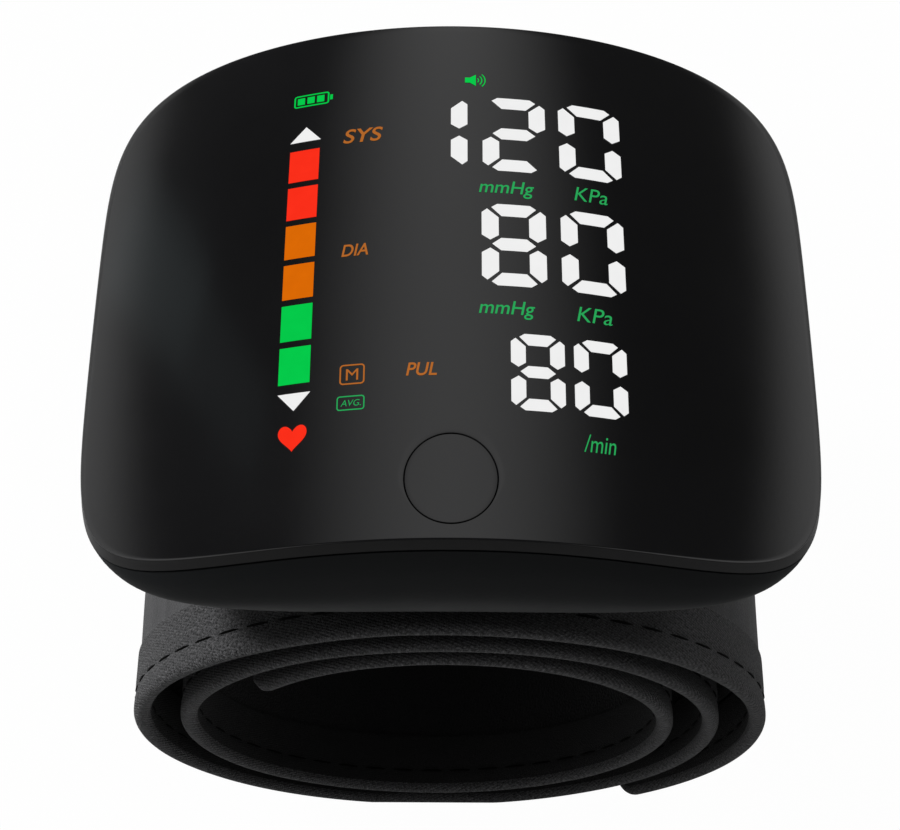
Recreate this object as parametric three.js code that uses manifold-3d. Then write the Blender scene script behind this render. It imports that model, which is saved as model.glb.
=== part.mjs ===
// Wrist blood pressure monitor: a curved housing standing on its rolled-up cuff.
// Millimetres. X is across the wrist, Y runs along the forearm, Z is up.
// The origin lies on the table, under the middle of the housing.

import * as THREE from 'three';
import { mergeVertices } from 'three/addons/utils/BufferGeometryUtils.js';
import Module from 'manifold-3d';

const wasm = await Module();
wasm.setup();

// Housing
const HOUSING_WIDTH = 72;
const FACE_LENGTH = 56.6;
const HOUSING_DEPTH = 20.2;
const PLAN_POWER = 5.6;
const FACE_ARCH_SHARE = 0.671;
const FACE_ARCH_RADIUS = FACE_ARCH_SHARE * HOUSING_WIDTH;
const FACE_CROWN_RADIUS = 217;
const PANEL_THICKNESS = 1.8;
const PANEL_EDGE_ROUND = 0.8;
const CASE_WALL = 1.4;
const CASE_BULGE = 1.9;
const CASE_SIDE_DRAFT = 0.9;
const CASE_RIM_INSET = 0.25;
const CASE_UNDERCUT = 4.5;
const PANEL_RING_SHARES = [0.2, 0.4, 0.6, 0.78, 0.92];
// Case outline below the seam: share of the height, of the undercut and of the bulge
const CASE_PROFILE = [[0.2, 0, 0.6], [0.45, 0, 1], [0.7, 0.12, 1], [0.9, 0.45, 1], [1, 1, 1]];
const SEAM_GAP = 0.3;
const SEAT_GAP = 0.05;

// Start button
const BUTTON_RADIUS = 4.1;
const BUTTON_CLEARANCE = 0.15;
const BUTTON_EDGE_MARGIN = 5.85;
const BUTTON_TRAVEL = 0.5;
const BUTTON_WING_SPAN = 13;
const BUTTON_WING_LENGTH = 5;
const BUTTON_WING_THICKNESS = 0.8;
const BUTTON_STEM_RADIUS = 1.5;
const SWITCH_SIZE = 4.5;
const SWITCH_BODY_HEIGHT = 0.8;
const SWITCH_TIP_HEIGHT = 0.3;
const SWITCH_TIP_RADIUS = 1;

// Display and main board
const BOARD_WIDTH_SHARE = 0.472;
const BOARD_END_MARGIN = 3.3;
const BOARD_WIDTH = BOARD_WIDTH_SHARE * HOUSING_WIDTH;
const BOARD_LENGTH = FACE_LENGTH - 2 * BOARD_END_MARGIN;
const BOARD_THICKNESS = 0.9;
const BOARD_DROP = 7;
const BOARD_Y = -0.6;
const BOARD_POST_RADIUS = 1.5;
const BOARD_POST_INSET = 1.7;
const MASK_BUTTON_GAP = 0.5;
const MASK_FAR_MARGIN = 4.1;
const BAR_WINDOW_MARGIN = 2.6;
const BAR_WINDOW_WIDTH = 3.8;
const DIGIT_WINDOW_MARGIN = 0.9;
const DIGIT_WINDOW_WIDTH = BOARD_WIDTH / 2;
const DIGIT_ROW_SHARES = [0.757, 0.448, 0.139];
const DIGIT_WINDOW_SHARE = 0.228;
const LIGHT_BLOCK_HEIGHT = 1.2;

// Air system
const PUMP_RADIUS = 4.9;
const PUMP_MOTOR_LENGTH = 15;
const PUMP_HEAD_LENGTH = 11;
const PUMP_END_MARGIN = 11.6;
const MANIFOLD_PUMP_SPACING = 10.3;
const MANIFOLD_SIDE_MARGIN = 19;
const MANIFOLD_NIPPLE_MARGIN = 1.8;
const MANIFOLD_WIDTH = 5;
const MANIFOLD_HEIGHT = 4.1;
const TUBE_RADIUS = 1.5;
const TUBE_BORE_RADIUS = 0.95;
const SPIGOT_RADIUS = 0.7;
const SPIGOT_LENGTH = 1;
const SENSOR_SIZE = 6;
const SENSOR_HEIGHT = 2.2;
const VALVE_SIZE = 7;
const VALVE_LENGTH = 12;
const VALVE_TUBE_LENGTH = 3.3;
const NIPPLE_RADIUS = 1.7;
const NIPPLE_BORE_RADIUS = 0.8;
const NIPPLE_CLEARANCE = 0.3;
const SEAL_SECTION_RADIUS = 0.4;
const SEAL_GROOVE_DEPTH = 0.9;

// Other electrics
const BATTERY_WIDTH = BOARD_WIDTH - 5;
const BATTERY_HEIGHT = 5.1;
const BATTERY_END_MARGIN = 9.1;
const BATTERY_MANIFOLD_GAP = 2.7;
const PROCESSOR_SIZE = 7;
const PROCESSOR_HEIGHT = 0.9;
const SPEAKER_RADIUS = 5.5;
const SPEAKER_HEIGHT = 3;
const SPEAKER_SIDE_MARGIN = 13.2;
const SPEAKER_SCREW_SPACING = 10.5;
const SOUND_HOLE_RADIUS = 0.7;
const SOUND_HOLE_CIRCLE = 2.6;
const SOUND_HOLES = 6;
const SOCKET_WIDTH = 9;
const SOCKET_HEIGHT = 3.2;
const SOCKET_DEPTH = 6.5;
const SOCKET_SHELL = 0.35;
const SOCKET_TONGUE = 0.7;
const SOCKET_ABOVE_FLOOR = 3.2;
const SOCKET_CLEARANCE = 0.3;

// Screws
const CASE_SCREW_SIDE_MARGIN = 10.5;
const CASE_SCREW_END_MARGIN = 11.1;
const BOSS_RADIUS = 2.3;
const SCREW_SHAFT_RADIUS = 0.9;
const SCREW_HEAD_RADIUS = 1.8;
const SCREW_HEAD_HEIGHT = 0.8;
const SCREW_SLOT_WIDTH = 0.5;
const SCREW_SLOT_DEPTH = 0.4;
const SCREW_CLEARANCE = 0.15;
const SCREW_GRIP = 5;
const CUFF_SCREW_END_MARGIN = 6.1;
const CUFF_SCREW_SPACING = FACE_LENGTH - 2 * CUFF_SCREW_END_MARGIN;
const CUFF_BOSS_HEIGHT = 1.3;

// Cuff, rolled into a spiral about the wrist axis
const CUFF_WIDTH = 59.6;
const BAND_THICKNESS = 1.9;
const BAND_EDGE_ROUND = 0.6;
const ROLL_START_RADIUS = 36.8;
const ROLL_PITCH = 5.2;
const ROLL_SQUASH = 0.981;
const ROLL_OFFSET_X = -1.2;
const ROLL_LIFT_PER_TURN = 0.8;
const ROLL_LIFT_START_ANGLE = 300;
const REST_FLAT_DEPTH = 1;
const FLAP_TIP_ANGLE = -51;
const FLAP_HINGE_ANGLE = 38;
const WRAP_HINGE_ANGLE = 200;
const WRAP_TIP_ANGLE = 866;
const BAND_STEP_ANGLE = 7.5;
const LAYER_GAP = 0.15;
const BOW_THICKNESS = 0.5;
const BOW_START_ANGLE = 50;
const BOW_END_ANGLE = 165;
const BOW_SCREW_MARGIN = 2.5;
const BOW_WIDTH = CUFF_SCREW_SPACING + 2 * BOW_SCREW_MARGIN;
const BLADDER_THICKNESS = 0.8;
const BLADDER_START_ANGLE = 56;
const BLADDER_END_ANGLE = 188;
const BLADDER_SCREW_MARGIN = 3.2;
const BLADDER_WIDTH = CUFF_SCREW_SPACING - 2 * BLADDER_SCREW_MARGIN;
const HOOK_THICKNESS = 0.9;
const HOOK_EDGE_MARGIN = 7.1;
const HOOK_WIDTH = CUFF_WIDTH - 2 * HOOK_EDGE_MARGIN;
const HOOK_START_ANGLE = -46;
const HOOK_END_ANGLE = -2;

// Heights and places that follow from the sizes above
const TURN = 360;
const rollRadius = (angle) => ROLL_START_RADIUS - ROLL_PITCH * angle / TURN;
const ROLL_CENTRE_Z = ROLL_SQUASH * rollRadius(270) - REST_FLAT_DEPTH;
const ROLL_TOP_Z = ROLL_CENTRE_Z + ROLL_SQUASH * rollRadius(90);
const UNDERSIDE_Z = ROLL_TOP_Z + SEAM_GAP;
const FLOOR_Z = UNDERSIDE_Z + CASE_WALL;
const FACE_TOP_Z = UNDERSIDE_Z + HOUSING_DEPTH;
const BOARD_TOP_Z = FACE_TOP_Z - BOARD_DROP;
const BOARD_UNDER_Z = BOARD_TOP_Z - BOARD_THICKNESS;
const BUTTON_Y = BUTTON_EDGE_MARGIN - FACE_LENGTH / 2;
const MASK_NEAR_Y = BUTTON_Y + BUTTON_RADIUS + MASK_BUTTON_GAP;
const MASK_FAR_Y = FACE_LENGTH / 2 - MASK_FAR_MARGIN;
const PUMP_Y = FACE_LENGTH / 2 - PUMP_END_MARGIN;
const MANIFOLD_Y = PUMP_Y - MANIFOLD_PUMP_SPACING;
const BATTERY_NEAR_Y = BATTERY_END_MARGIN - FACE_LENGTH / 2;
const BATTERY_FAR_Y = MANIFOLD_Y - MANIFOLD_WIDTH / 2 - BATTERY_MANIFOLD_GAP;
const BATTERY_Y = (BATTERY_NEAR_Y + BATTERY_FAR_Y) / 2;
const CASE_SCREW_X = HOUSING_WIDTH / 2 - CASE_SCREW_SIDE_MARGIN;
const CASE_SCREW_Y = FACE_LENGTH / 2 - CASE_SCREW_END_MARGIN;
const SPEAKER_X = SPEAKER_SIDE_MARGIN - HOUSING_WIDTH / 2;
const SPEAKER_Y = SPEAKER_SCREW_SPACING - CASE_SCREW_Y;

// Facets: points around the housing, and around small, middling and large rounds
const PLAN_STEPS = 72;
const SMALL_STEPS = 12;
const ROUND_STEPS = 20;
const LARGE_STEPS = 40;
const FACE_STEPS = 12;

const radians = THREE.MathUtils.degToRad;
const faceZ = (x, y) => FACE_TOP_Z - x * x / (2 * FACE_ARCH_RADIUS) - y * y / (2 * FACE_CROWN_RADIUS);
const panelUnderZ = (x, y) => faceZ(x, y) - PANEL_THICKNESS;

// Solids: from geometry to a solid that can be joined and cut, and back

function solidOf(geometry) {
  const bare = geometry.clone();
  bare.deleteAttribute('normal');
  bare.deleteAttribute('uv');
  const merged = mergeVertices(bare, 1e-4);
  return new wasm.Manifold(new wasm.Mesh({
    numProp: 3,
    vertProperties: merged.attributes.position.array,
    triVerts: Uint32Array.from(merged.index.array),
  }));
}

function geometryOf(solid) {
  const mesh = solid.getMesh();
  const geometry = new THREE.BufferGeometry();
  geometry.setAttribute('position', new THREE.BufferAttribute(Float32Array.from(mesh.vertProperties), 3));
  geometry.setIndex(Array.from(mesh.triVerts));
  return geometry;
}

const joined = (first, ...others) => others.reduce((sum, other) => sum.add(other), first);
const cut = (first, ...others) => others.reduce((rest, other) => rest.subtract(other), first);

// Skins a run of rings with the same number of points; a ring of one point closes an end.
function skin(rings) {
  const points = rings.flat();
  const starts = [];
  let total = 0;
  for (const ring of rings) {
    starts.push(total);
    total += ring.length;
  }
  const index = [];
  for (let k = 0; k + 1 < rings.length; k += 1) {
    const count = Math.max(rings[k].length, rings[k + 1].length);
    for (let i = 0; i < count; i += 1) {
      const next = (i + 1) % count;
      const a = starts[k] + (rings[k].length > 1 ? i : 0);
      const b = starts[k] + (rings[k].length > 1 ? next : 0);
      const c = starts[k + 1] + (rings[k + 1].length > 1 ? next : 0);
      const d = starts[k + 1] + (rings[k + 1].length > 1 ? i : 0);
      if (a !== b) index.push(a, b, c);
      if (c !== d) index.push(a, c, d);
    }
  }
  const geometry = new THREE.BufferGeometry().setFromPoints(points);
  geometry.setIndex(index);
  return geometry;
}

function block(x, y, z, width, length, height) {
  const geometry = new THREE.BoxGeometry(width, length, height);
  geometry.translate(x, y, z + height / 2);
  return solidOf(geometry);
}

function post(x, y, z, radius, height, steps = ROUND_STEPS) {
  const geometry = new THREE.CylinderGeometry(radius, radius, height, steps);
  geometry.rotateX(Math.PI / 2);
  geometry.translate(x, y, z + height / 2);
  return solidOf(geometry);
}

function rodAlongX(x, y, z, radius, length, steps = ROUND_STEPS) {
  const geometry = new THREE.CylinderGeometry(radius, radius, length, steps);
  geometry.rotateZ(Math.PI / 2);
  geometry.translate(x + length / 2, y, z);
  return solidOf(geometry);
}

function rodAlongY(x, y, z, radius, length, steps = ROUND_STEPS) {
  const geometry = new THREE.CylinderGeometry(radius, radius, length, steps);
  geometry.translate(x, y + length / 2, z);
  return solidOf(geometry);
}

// A solid over a rectangle, flat below and following the face above at a given depth
function underFace(x0, x1, y0, y1, depth, bottom) {
  const steps = FACE_STEPS;
  const rows = [];
  for (let j = 0; j <= steps; j += 1) {
    const y = y0 + (y1 - y0) * j / steps;
    const row = [];
    for (let i = 0; i <= steps; i += 1) {
      const x = x0 + (x1 - x0) * i / steps;
      row.push(new THREE.Vector3(x, y, faceZ(x, y) - depth));
    }
    row.push(new THREE.Vector3(x1, y, bottom), new THREE.Vector3(x0, y, bottom));
    rows.push(row);
  }
  const middle = (y) => new THREE.Vector3((x0 + x1) / 2, y, bottom + (faceZ(x1, y) - depth - bottom) / 2);
  return solidOf(skin([[middle(y0)], ...rows, [middle(y1)]]));
}

// Housing

// One ring of the housing's plan: a rounded rectangle drawn in by the insets
function planRing(insetX, insetY, height) {
  const a = HOUSING_WIDTH / 2 - insetX;
  const b = FACE_LENGTH / 2 - insetY;
  const ring = [];
  for (let i = 0; i < PLAN_STEPS; i += 1) {
    const angle = 2 * Math.PI * i / PLAN_STEPS;
    const c = Math.cos(angle);
    const s = Math.sin(angle);
    const reach = (Math.abs(c / a) ** PLAN_POWER + Math.abs(s / b) ** PLAN_POWER) ** (-1 / PLAN_POWER);
    const x = reach * c;
    const y = reach * s;
    ring.push(new THREE.Vector3(x, y, height(x, y)));
  }
  return ring;
}

const scaledRing = (share, height) =>
  planRing((1 - share) * HOUSING_WIDTH / 2, (1 - share) * FACE_LENGTH / 2, height);

const CORNERS = [[-1, -1], [1, -1], [1, 1], [-1, 1]];
const CASE_SCREWS = CORNERS.map(([i, j]) => [i * CASE_SCREW_X, j * CASE_SCREW_Y]);
const CUFF_SCREWS = [-1, 1].map((side) => [ROLL_OFFSET_X, side * CUFF_SCREW_SPACING / 2]);

function facePanel() {
  const halfRound = PANEL_EDGE_ROUND * (1 - Math.SQRT1_2);
  const plate = solidOf(skin([
    [new THREE.Vector3(0, 0, panelUnderZ(0, 0))],
    ...PANEL_RING_SHARES.map((share) => scaledRing(share, panelUnderZ)),
    planRing(0, 0, panelUnderZ),
    planRing(0, 0, (x, y) => faceZ(x, y) - PANEL_EDGE_ROUND),
    planRing(halfRound, halfRound, (x, y) => faceZ(x, y) - halfRound),
    planRing(PANEL_EDGE_ROUND, PANEL_EDGE_ROUND, faceZ),
    ...PANEL_RING_SHARES.toReversed().map((share) => scaledRing(share, faceZ)),
    [new THREE.Vector3(0, 0, FACE_TOP_Z)],
  ]));
  const bossBottom = FLOOR_Z + SEAM_GAP;
  const bosses = CASE_SCREWS.map(([x, y]) => {
    const r = BOSS_RADIUS;
    const filled = underFace(x - r, x + r, y - r, y + r, PANEL_THICKNESS / 2, bossBottom);
    return filled.intersect(post(x, y, bossBottom - SEAM_GAP, r, HOUSING_DEPTH));
  });
  const pilots = CASE_SCREWS.map(([x, y]) =>
    post(x, y, bossBottom - SEAM_GAP, SCREW_SHAFT_RADIUS + SCREW_CLEARANCE, SCREW_GRIP));
  const holeRadius = BUTTON_RADIUS + BUTTON_CLEARANCE;
  const buttonHole = post(0, BUTTON_Y, BOARD_TOP_Z, holeRadius, 2 * BOARD_DROP, LARGE_STEPS);
  return cut(joined(plate, ...bosses), ...pilots, buttonHole);
}

// The case wall leaves the seam under the panel, swells at both ends and rounds in to a flat underside.
function lowerCase() {
  const rimZ = (x, y) => panelUnderZ(x, y) - SEAM_GAP;
  const wallRings = (inset, bottom) => [
    planRing(CASE_RIM_INSET + inset, CASE_RIM_INSET + inset, rimZ),
    ...CASE_PROFILE.map(([share, undercut, bulge]) => planRing(
      inset + Math.max(CASE_RIM_INSET, undercut * CASE_UNDERCUT) + share * CASE_SIDE_DRAFT,
      inset + undercut * CASE_UNDERCUT - bulge * CASE_BULGE,
      (x, y) => rimZ(x, y) + share * (bottom - rimZ(x, y)),
    )),
  ];
  const shell = solidOf(skin([
    [new THREE.Vector3(0, 0, UNDERSIDE_Z)],
    ...wallRings(0, UNDERSIDE_Z).toReversed(),
    ...wallRings(CASE_WALL, FLOOR_Z),
    [new THREE.Vector3(0, 0, FLOOR_Z)],
  ]));
  const sink = CASE_WALL / 2;
  const postHeight = BOARD_UNDER_Z - SEAT_GAP - FLOOR_Z + sink;
  const posts = BOARD_POSTS.map(([x, y]) => post(x, y, FLOOR_Z - sink, BOARD_POST_RADIUS, postHeight));
  const cuffBosses = CUFF_SCREWS.map(([x, y]) =>
    post(x, y, FLOOR_Z - sink, BOSS_RADIUS, CUFF_BOSS_HEIGHT + sink));
  const shaftHole = SCREW_SHAFT_RADIUS + SCREW_CLEARANCE;
  const below = UNDERSIDE_Z - SEAM_GAP;
  const through = CASE_WALL + 2 * SEAM_GAP;
  const screwHoles = CASE_SCREWS.flatMap(([x, y]) => [
    post(x, y, below, shaftHole, through),
    post(x, y, below, SCREW_HEAD_RADIUS + SCREW_CLEARANCE, SCREW_HEAD_HEIGHT + SEAM_GAP),
  ]);
  const cuffHoles = CUFF_SCREWS.map(([x, y]) =>
    post(x, y, below, shaftHole, through + CUFF_BOSS_HEIGHT));
  const nippleHoles = [
    post(ROLL_OFFSET_X, MANIFOLD_Y, below, NIPPLE_RADIUS + NIPPLE_CLEARANCE, through),
    post(ROLL_OFFSET_X, MANIFOLD_Y, below, SEAL_OUTER_RADIUS + SCREW_CLEARANCE, SEAL_GROOVE_DEPTH + SEAM_GAP),
  ];
  const soundHoles = [[SPEAKER_X, SPEAKER_Y]];
  for (let i = 0; i < SOUND_HOLES; i += 1) {
    const angle = 2 * Math.PI * i / SOUND_HOLES;
    const x = SPEAKER_X + SOUND_HOLE_CIRCLE * Math.cos(angle);
    const y = SPEAKER_Y + SOUND_HOLE_CIRCLE * Math.sin(angle);
    soundHoles.push([x, y]);
  }
  const grille = soundHoles.map(([x, y]) => post(x, y, below, SOUND_HOLE_RADIUS, through, SMALL_STEPS));
  const slotWidth = SOCKET_WIDTH + 2 * SOCKET_CLEARANCE;
  const slotHeight = SOCKET_HEIGHT + 2 * SOCKET_CLEARANCE;
  const slotZ = SOCKET_Z - SOCKET_CLEARANCE;
  const socketSlot = block(0, SOCKET_FRONT_Y, slotZ, slotWidth, 2 * SOCKET_DEPTH, slotHeight);
  const holes = [...screwHoles, ...cuffHoles, ...nippleHoles, ...grille, socketSlot];
  return cut(joined(shell, ...posts, ...cuffBosses), ...holes);
}

const SEAL_OUTER_RADIUS = NIPPLE_RADIUS + 2 * SEAL_SECTION_RADIUS + SCREW_CLEARANCE;
const SOCKET_FRONT_Y = FACE_LENGTH / 2 + CASE_BULGE - SEAM_GAP;
const SOCKET_Z = FLOOR_Z + SOCKET_ABOVE_FLOOR;
const BOARD_POSTS = CORNERS.map(([i, j]) => [
  i * (BOARD_WIDTH / 2 - BOARD_POST_INSET),
  BOARD_Y + j * (BOARD_LENGTH / 2 - BOARD_POST_INSET),
]);

// A pan-head screw pointing up, with its slot below
function screw(x, y, headZ, length) {
  const profile = [
    new THREE.Vector2(0, 0),
    new THREE.Vector2(SCREW_HEAD_RADIUS, 0),
    new THREE.Vector2(SCREW_HEAD_RADIUS, SCREW_HEAD_HEIGHT),
    new THREE.Vector2(SCREW_SHAFT_RADIUS, SCREW_HEAD_HEIGHT),
    new THREE.Vector2(SCREW_SHAFT_RADIUS, length - SCREW_SHAFT_RADIUS),
    new THREE.Vector2(0, length),
  ];
  const turned = new THREE.LatheGeometry(profile, SMALL_STEPS);
  turned.rotateX(Math.PI / 2);
  turned.translate(x, y, headZ);
  const slotLength = 4 * SCREW_HEAD_RADIUS;
  const slot = block(x, y, headZ - SCREW_SLOT_DEPTH, slotLength, SCREW_SLOT_WIDTH, 2 * SCREW_SLOT_DEPTH);
  return cut(solidOf(turned), slot);
}

function startButton() {
  const half = BUTTON_RADIUS + BUTTON_CLEARANCE;
  const wingTop = panelUnderZ(BUTTON_WING_SPAN / 2, BUTTON_Y - BUTTON_WING_LENGTH / 2) - SEAM_GAP;
  const wingZ = wingTop - BUTTON_WING_THICKNESS;
  const slab = underFace(-half, half, BUTTON_Y - half, BUTTON_Y + half, 0, wingZ);
  const disc = post(0, BUTTON_Y, wingTop - SEAT_GAP, BUTTON_RADIUS, 2 * BOARD_DROP, LARGE_STEPS);
  const cap = slab.intersect(disc);
  const wings = block(0, BUTTON_Y, wingZ, BUTTON_WING_SPAN, BUTTON_WING_LENGTH, BUTTON_WING_THICKNESS);
  const stemZ = SWITCH_TOP_Z + BUTTON_TRAVEL + BUTTON_CLEARANCE;
  const stem = post(0, BUTTON_Y, stemZ, BUTTON_STEM_RADIUS, wingTop - SEAT_GAP - stemZ);
  return joined(cap, wings, stem);
}

const SWITCH_TOP_Z = BOARD_TOP_Z + SEAT_GAP + SWITCH_BODY_HEIGHT + SWITCH_TIP_HEIGHT;

function tactSwitch() {
  const z = BOARD_TOP_Z + SEAT_GAP;
  const body = block(0, BUTTON_Y, z, SWITCH_SIZE, SWITCH_SIZE, SWITCH_BODY_HEIGHT);
  const tip = post(0, BUTTON_Y, z, SWITCH_TIP_RADIUS, SWITCH_BODY_HEIGHT + SWITCH_TIP_HEIGHT, SMALL_STEPS);
  return joined(body, tip);
}

const MASK_LENGTH = MASK_FAR_Y - MASK_NEAR_Y;
const DIGIT_WINDOW_LENGTH = DIGIT_WINDOW_SHARE * MASK_LENGTH;
const DIGIT_ROWS = DIGIT_ROW_SHARES.map((share) => MASK_NEAR_Y + share * MASK_LENGTH);
const LIGHT_WINDOWS = [
  {
    name: 'bar_lights',
    x: BAR_WINDOW_MARGIN - BOARD_WIDTH / 2,
    y: (DIGIT_ROWS[0] + DIGIT_ROWS.at(-1)) / 2,
    width: BAR_WINDOW_WIDTH,
    length: DIGIT_ROWS[0] - DIGIT_ROWS.at(-1) + DIGIT_WINDOW_LENGTH,
  },
  ...DIGIT_ROWS.map((y, i) => ({
    name: `digit_lights_${i + 1}`,
    x: BOARD_WIDTH / 2 - DIGIT_WINDOW_MARGIN - DIGIT_WINDOW_WIDTH / 2,
    y,
    width: DIGIT_WINDOW_WIDTH,
    length: DIGIT_WINDOW_LENGTH,
  })),
];

// The mask fills the space between board and panel and keeps each light in its own window.
function lightMask() {
  const half = BOARD_WIDTH / 2;
  const bottom = BOARD_TOP_Z + SEAT_GAP;
  const body = underFace(-half, half, MASK_NEAR_Y, MASK_FAR_Y, PANEL_THICKNESS + SEAM_GAP, bottom);
  const windows = LIGHT_WINDOWS.map(({ x, y, width, length }) =>
    block(x, y, bottom - SEAM_GAP, width, length, BOARD_DROP));
  return cut(body, ...windows);
}

const mainBoard = () => block(0, BOARD_Y, BOARD_UNDER_Z, BOARD_WIDTH, BOARD_LENGTH, BOARD_THICKNESS);

// Air system: pump, manifold, sensor and valve, joined by short tubes

const PUMP_Z = FLOOR_Z + SEAM_GAP + PUMP_RADIUS;
const PUMP_START_X = -(PUMP_MOTOR_LENGTH + PUMP_HEAD_LENGTH + SEAM_GAP) / 2;
const PUMP_HEAD_X = PUMP_START_X + PUMP_MOTOR_LENGTH + SEAM_GAP;
const MANIFOLD_START_X = ROLL_OFFSET_X - MANIFOLD_NIPPLE_MARGIN;
const MANIFOLD_END_X = HOUSING_WIDTH / 2 - MANIFOLD_SIDE_MARGIN;
const MANIFOLD_LENGTH = MANIFOLD_END_X - MANIFOLD_START_X;
const MANIFOLD_X = (MANIFOLD_START_X + MANIFOLD_END_X) / 2;
const MANIFOLD_Z = FLOOR_Z + SEAT_GAP;
const MANIFOLD_MIDDLE_Z = MANIFOLD_Z + MANIFOLD_HEIGHT / 2;
const PUMP_OUTLET_X = PUMP_HEAD_X + PUMP_HEAD_LENGTH / 2;
const MANIFOLD_BACK_Y = MANIFOLD_Y + MANIFOLD_WIDTH / 2;
const PUMP_FRONT_Y = PUMP_Y - PUMP_RADIUS;
const VALVE_X = MANIFOLD_END_X + VALVE_TUBE_LENGTH;
const SENSOR_UNDER_Z = BOARD_UNDER_Z - SEAT_GAP - SENSOR_HEIGHT;

// Short spigots, half sunk in their piece and half standing out of it
const SPIGOT_RUN = 2 * SPIGOT_LENGTH;
const spigot = (rod, x, y, z) => rod(x, y, z, SPIGOT_RADIUS, SPIGOT_RUN, SMALL_STEPS);

const pumpMotor = () => rodAlongX(PUMP_START_X, PUMP_Y, PUMP_Z,
  PUMP_RADIUS, PUMP_MOTOR_LENGTH, LARGE_STEPS);

function pumpHead() {
  const size = 2 * PUMP_RADIUS;
  const body = block(PUMP_OUTLET_X, PUMP_Y, PUMP_Z - PUMP_RADIUS, PUMP_HEAD_LENGTH, size, size);
  return joined(body, spigot(rodAlongY, PUMP_OUTLET_X, PUMP_FRONT_Y - SPIGOT_LENGTH, MANIFOLD_MIDDLE_Z));
}

function airManifold() {
  return joined(
    block(MANIFOLD_X, MANIFOLD_Y, MANIFOLD_Z, MANIFOLD_LENGTH, MANIFOLD_WIDTH, MANIFOLD_HEIGHT),
    spigot(rodAlongY, PUMP_OUTLET_X, MANIFOLD_BACK_Y - SPIGOT_LENGTH, MANIFOLD_MIDDLE_Z),
    spigot(rodAlongX, MANIFOLD_END_X - SPIGOT_LENGTH, MANIFOLD_Y, MANIFOLD_MIDDLE_Z),
    spigot(post, MANIFOLD_X, MANIFOLD_Y, MANIFOLD_Z + MANIFOLD_HEIGHT - SPIGOT_LENGTH),
  );
}

function pressureSensor() {
  const body = block(MANIFOLD_X, MANIFOLD_Y, SENSOR_UNDER_Z, SENSOR_SIZE, SENSOR_SIZE, SENSOR_HEIGHT);
  return joined(body, spigot(post, MANIFOLD_X, MANIFOLD_Y, SENSOR_UNDER_Z - SPIGOT_LENGTH));
}

function releaseValve() {
  const z = FLOOR_Z + SEAT_GAP;
  const body = block(VALVE_X + VALVE_SIZE / 2, MANIFOLD_Y, z, VALVE_SIZE, VALVE_LENGTH, VALVE_SIZE);
  return joined(body, spigot(rodAlongX, VALVE_X - SPIGOT_LENGTH, MANIFOLD_Y, MANIFOLD_MIDDLE_Z));
}

// A soft tube between two faces, open along its bore
const tube = (rod, x, y, z, length) => cut(
  rod(x, y, z, TUBE_RADIUS, length),
  rod(x, y, z, TUBE_BORE_RADIUS, length),
);
const tubeGap = SEAM_GAP / 2;
const pumpTube = () => tube(rodAlongY, PUMP_OUTLET_X, MANIFOLD_BACK_Y + tubeGap, MANIFOLD_MIDDLE_Z,
  PUMP_FRONT_Y - MANIFOLD_BACK_Y - SEAM_GAP);
const valveTube = () => tube(rodAlongX, MANIFOLD_END_X + tubeGap, MANIFOLD_Y, MANIFOLD_MIDDLE_Z,
  VALVE_TUBE_LENGTH - SEAM_GAP);
const sensorTube = () => tube(post,
  MANIFOLD_X, MANIFOLD_Y, MANIFOLD_Z + MANIFOLD_HEIGHT + tubeGap,
  SENSOR_UNDER_Z - MANIFOLD_Z - MANIFOLD_HEIGHT - SEAM_GAP);

// The nipple leads air from the manifold through the case and the band into the bladder.
function airNipple() {
  const bottom = ROLL_TOP_Z - BAND_THICKNESS - BOW_THICKNESS - 3 * LAYER_GAP;
  const height = MANIFOLD_Z - SEAT_GAP - bottom;
  return cut(
    post(ROLL_OFFSET_X, MANIFOLD_Y, bottom, NIPPLE_RADIUS, height),
    post(ROLL_OFFSET_X, MANIFOLD_Y, bottom, NIPPLE_BORE_RADIUS, height, SMALL_STEPS),
  );
}

function nippleSeal() {
  const middle = NIPPLE_RADIUS + SEAL_SECTION_RADIUS + SCREW_CLEARANCE / 2;
  const ring = new THREE.TorusGeometry(middle, SEAL_SECTION_RADIUS, SMALL_STEPS / 2, ROUND_STEPS);
  ring.translate(ROLL_OFFSET_X, MANIFOLD_Y, UNDERSIDE_Z + SEAL_GROOVE_DEPTH / 2);
  return solidOf(ring);
}

// Electrics

const BATTERY_LENGTH = BATTERY_FAR_Y - BATTERY_NEAR_Y;
const batteryCell = () => block(0, BATTERY_Y, FLOOR_Z + SEAT_GAP,
  BATTERY_WIDTH, BATTERY_LENGTH, BATTERY_HEIGHT);
const processor = () => block(-BOARD_WIDTH / 4, BATTERY_Y, BOARD_UNDER_Z - SEAT_GAP - PROCESSOR_HEIGHT,
  PROCESSOR_SIZE, PROCESSOR_SIZE, PROCESSOR_HEIGHT);
const speaker = () => post(SPEAKER_X, SPEAKER_Y, FLOOR_Z + SEAT_GAP,
  SPEAKER_RADIUS, SPEAKER_HEIGHT, LARGE_STEPS);

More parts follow.
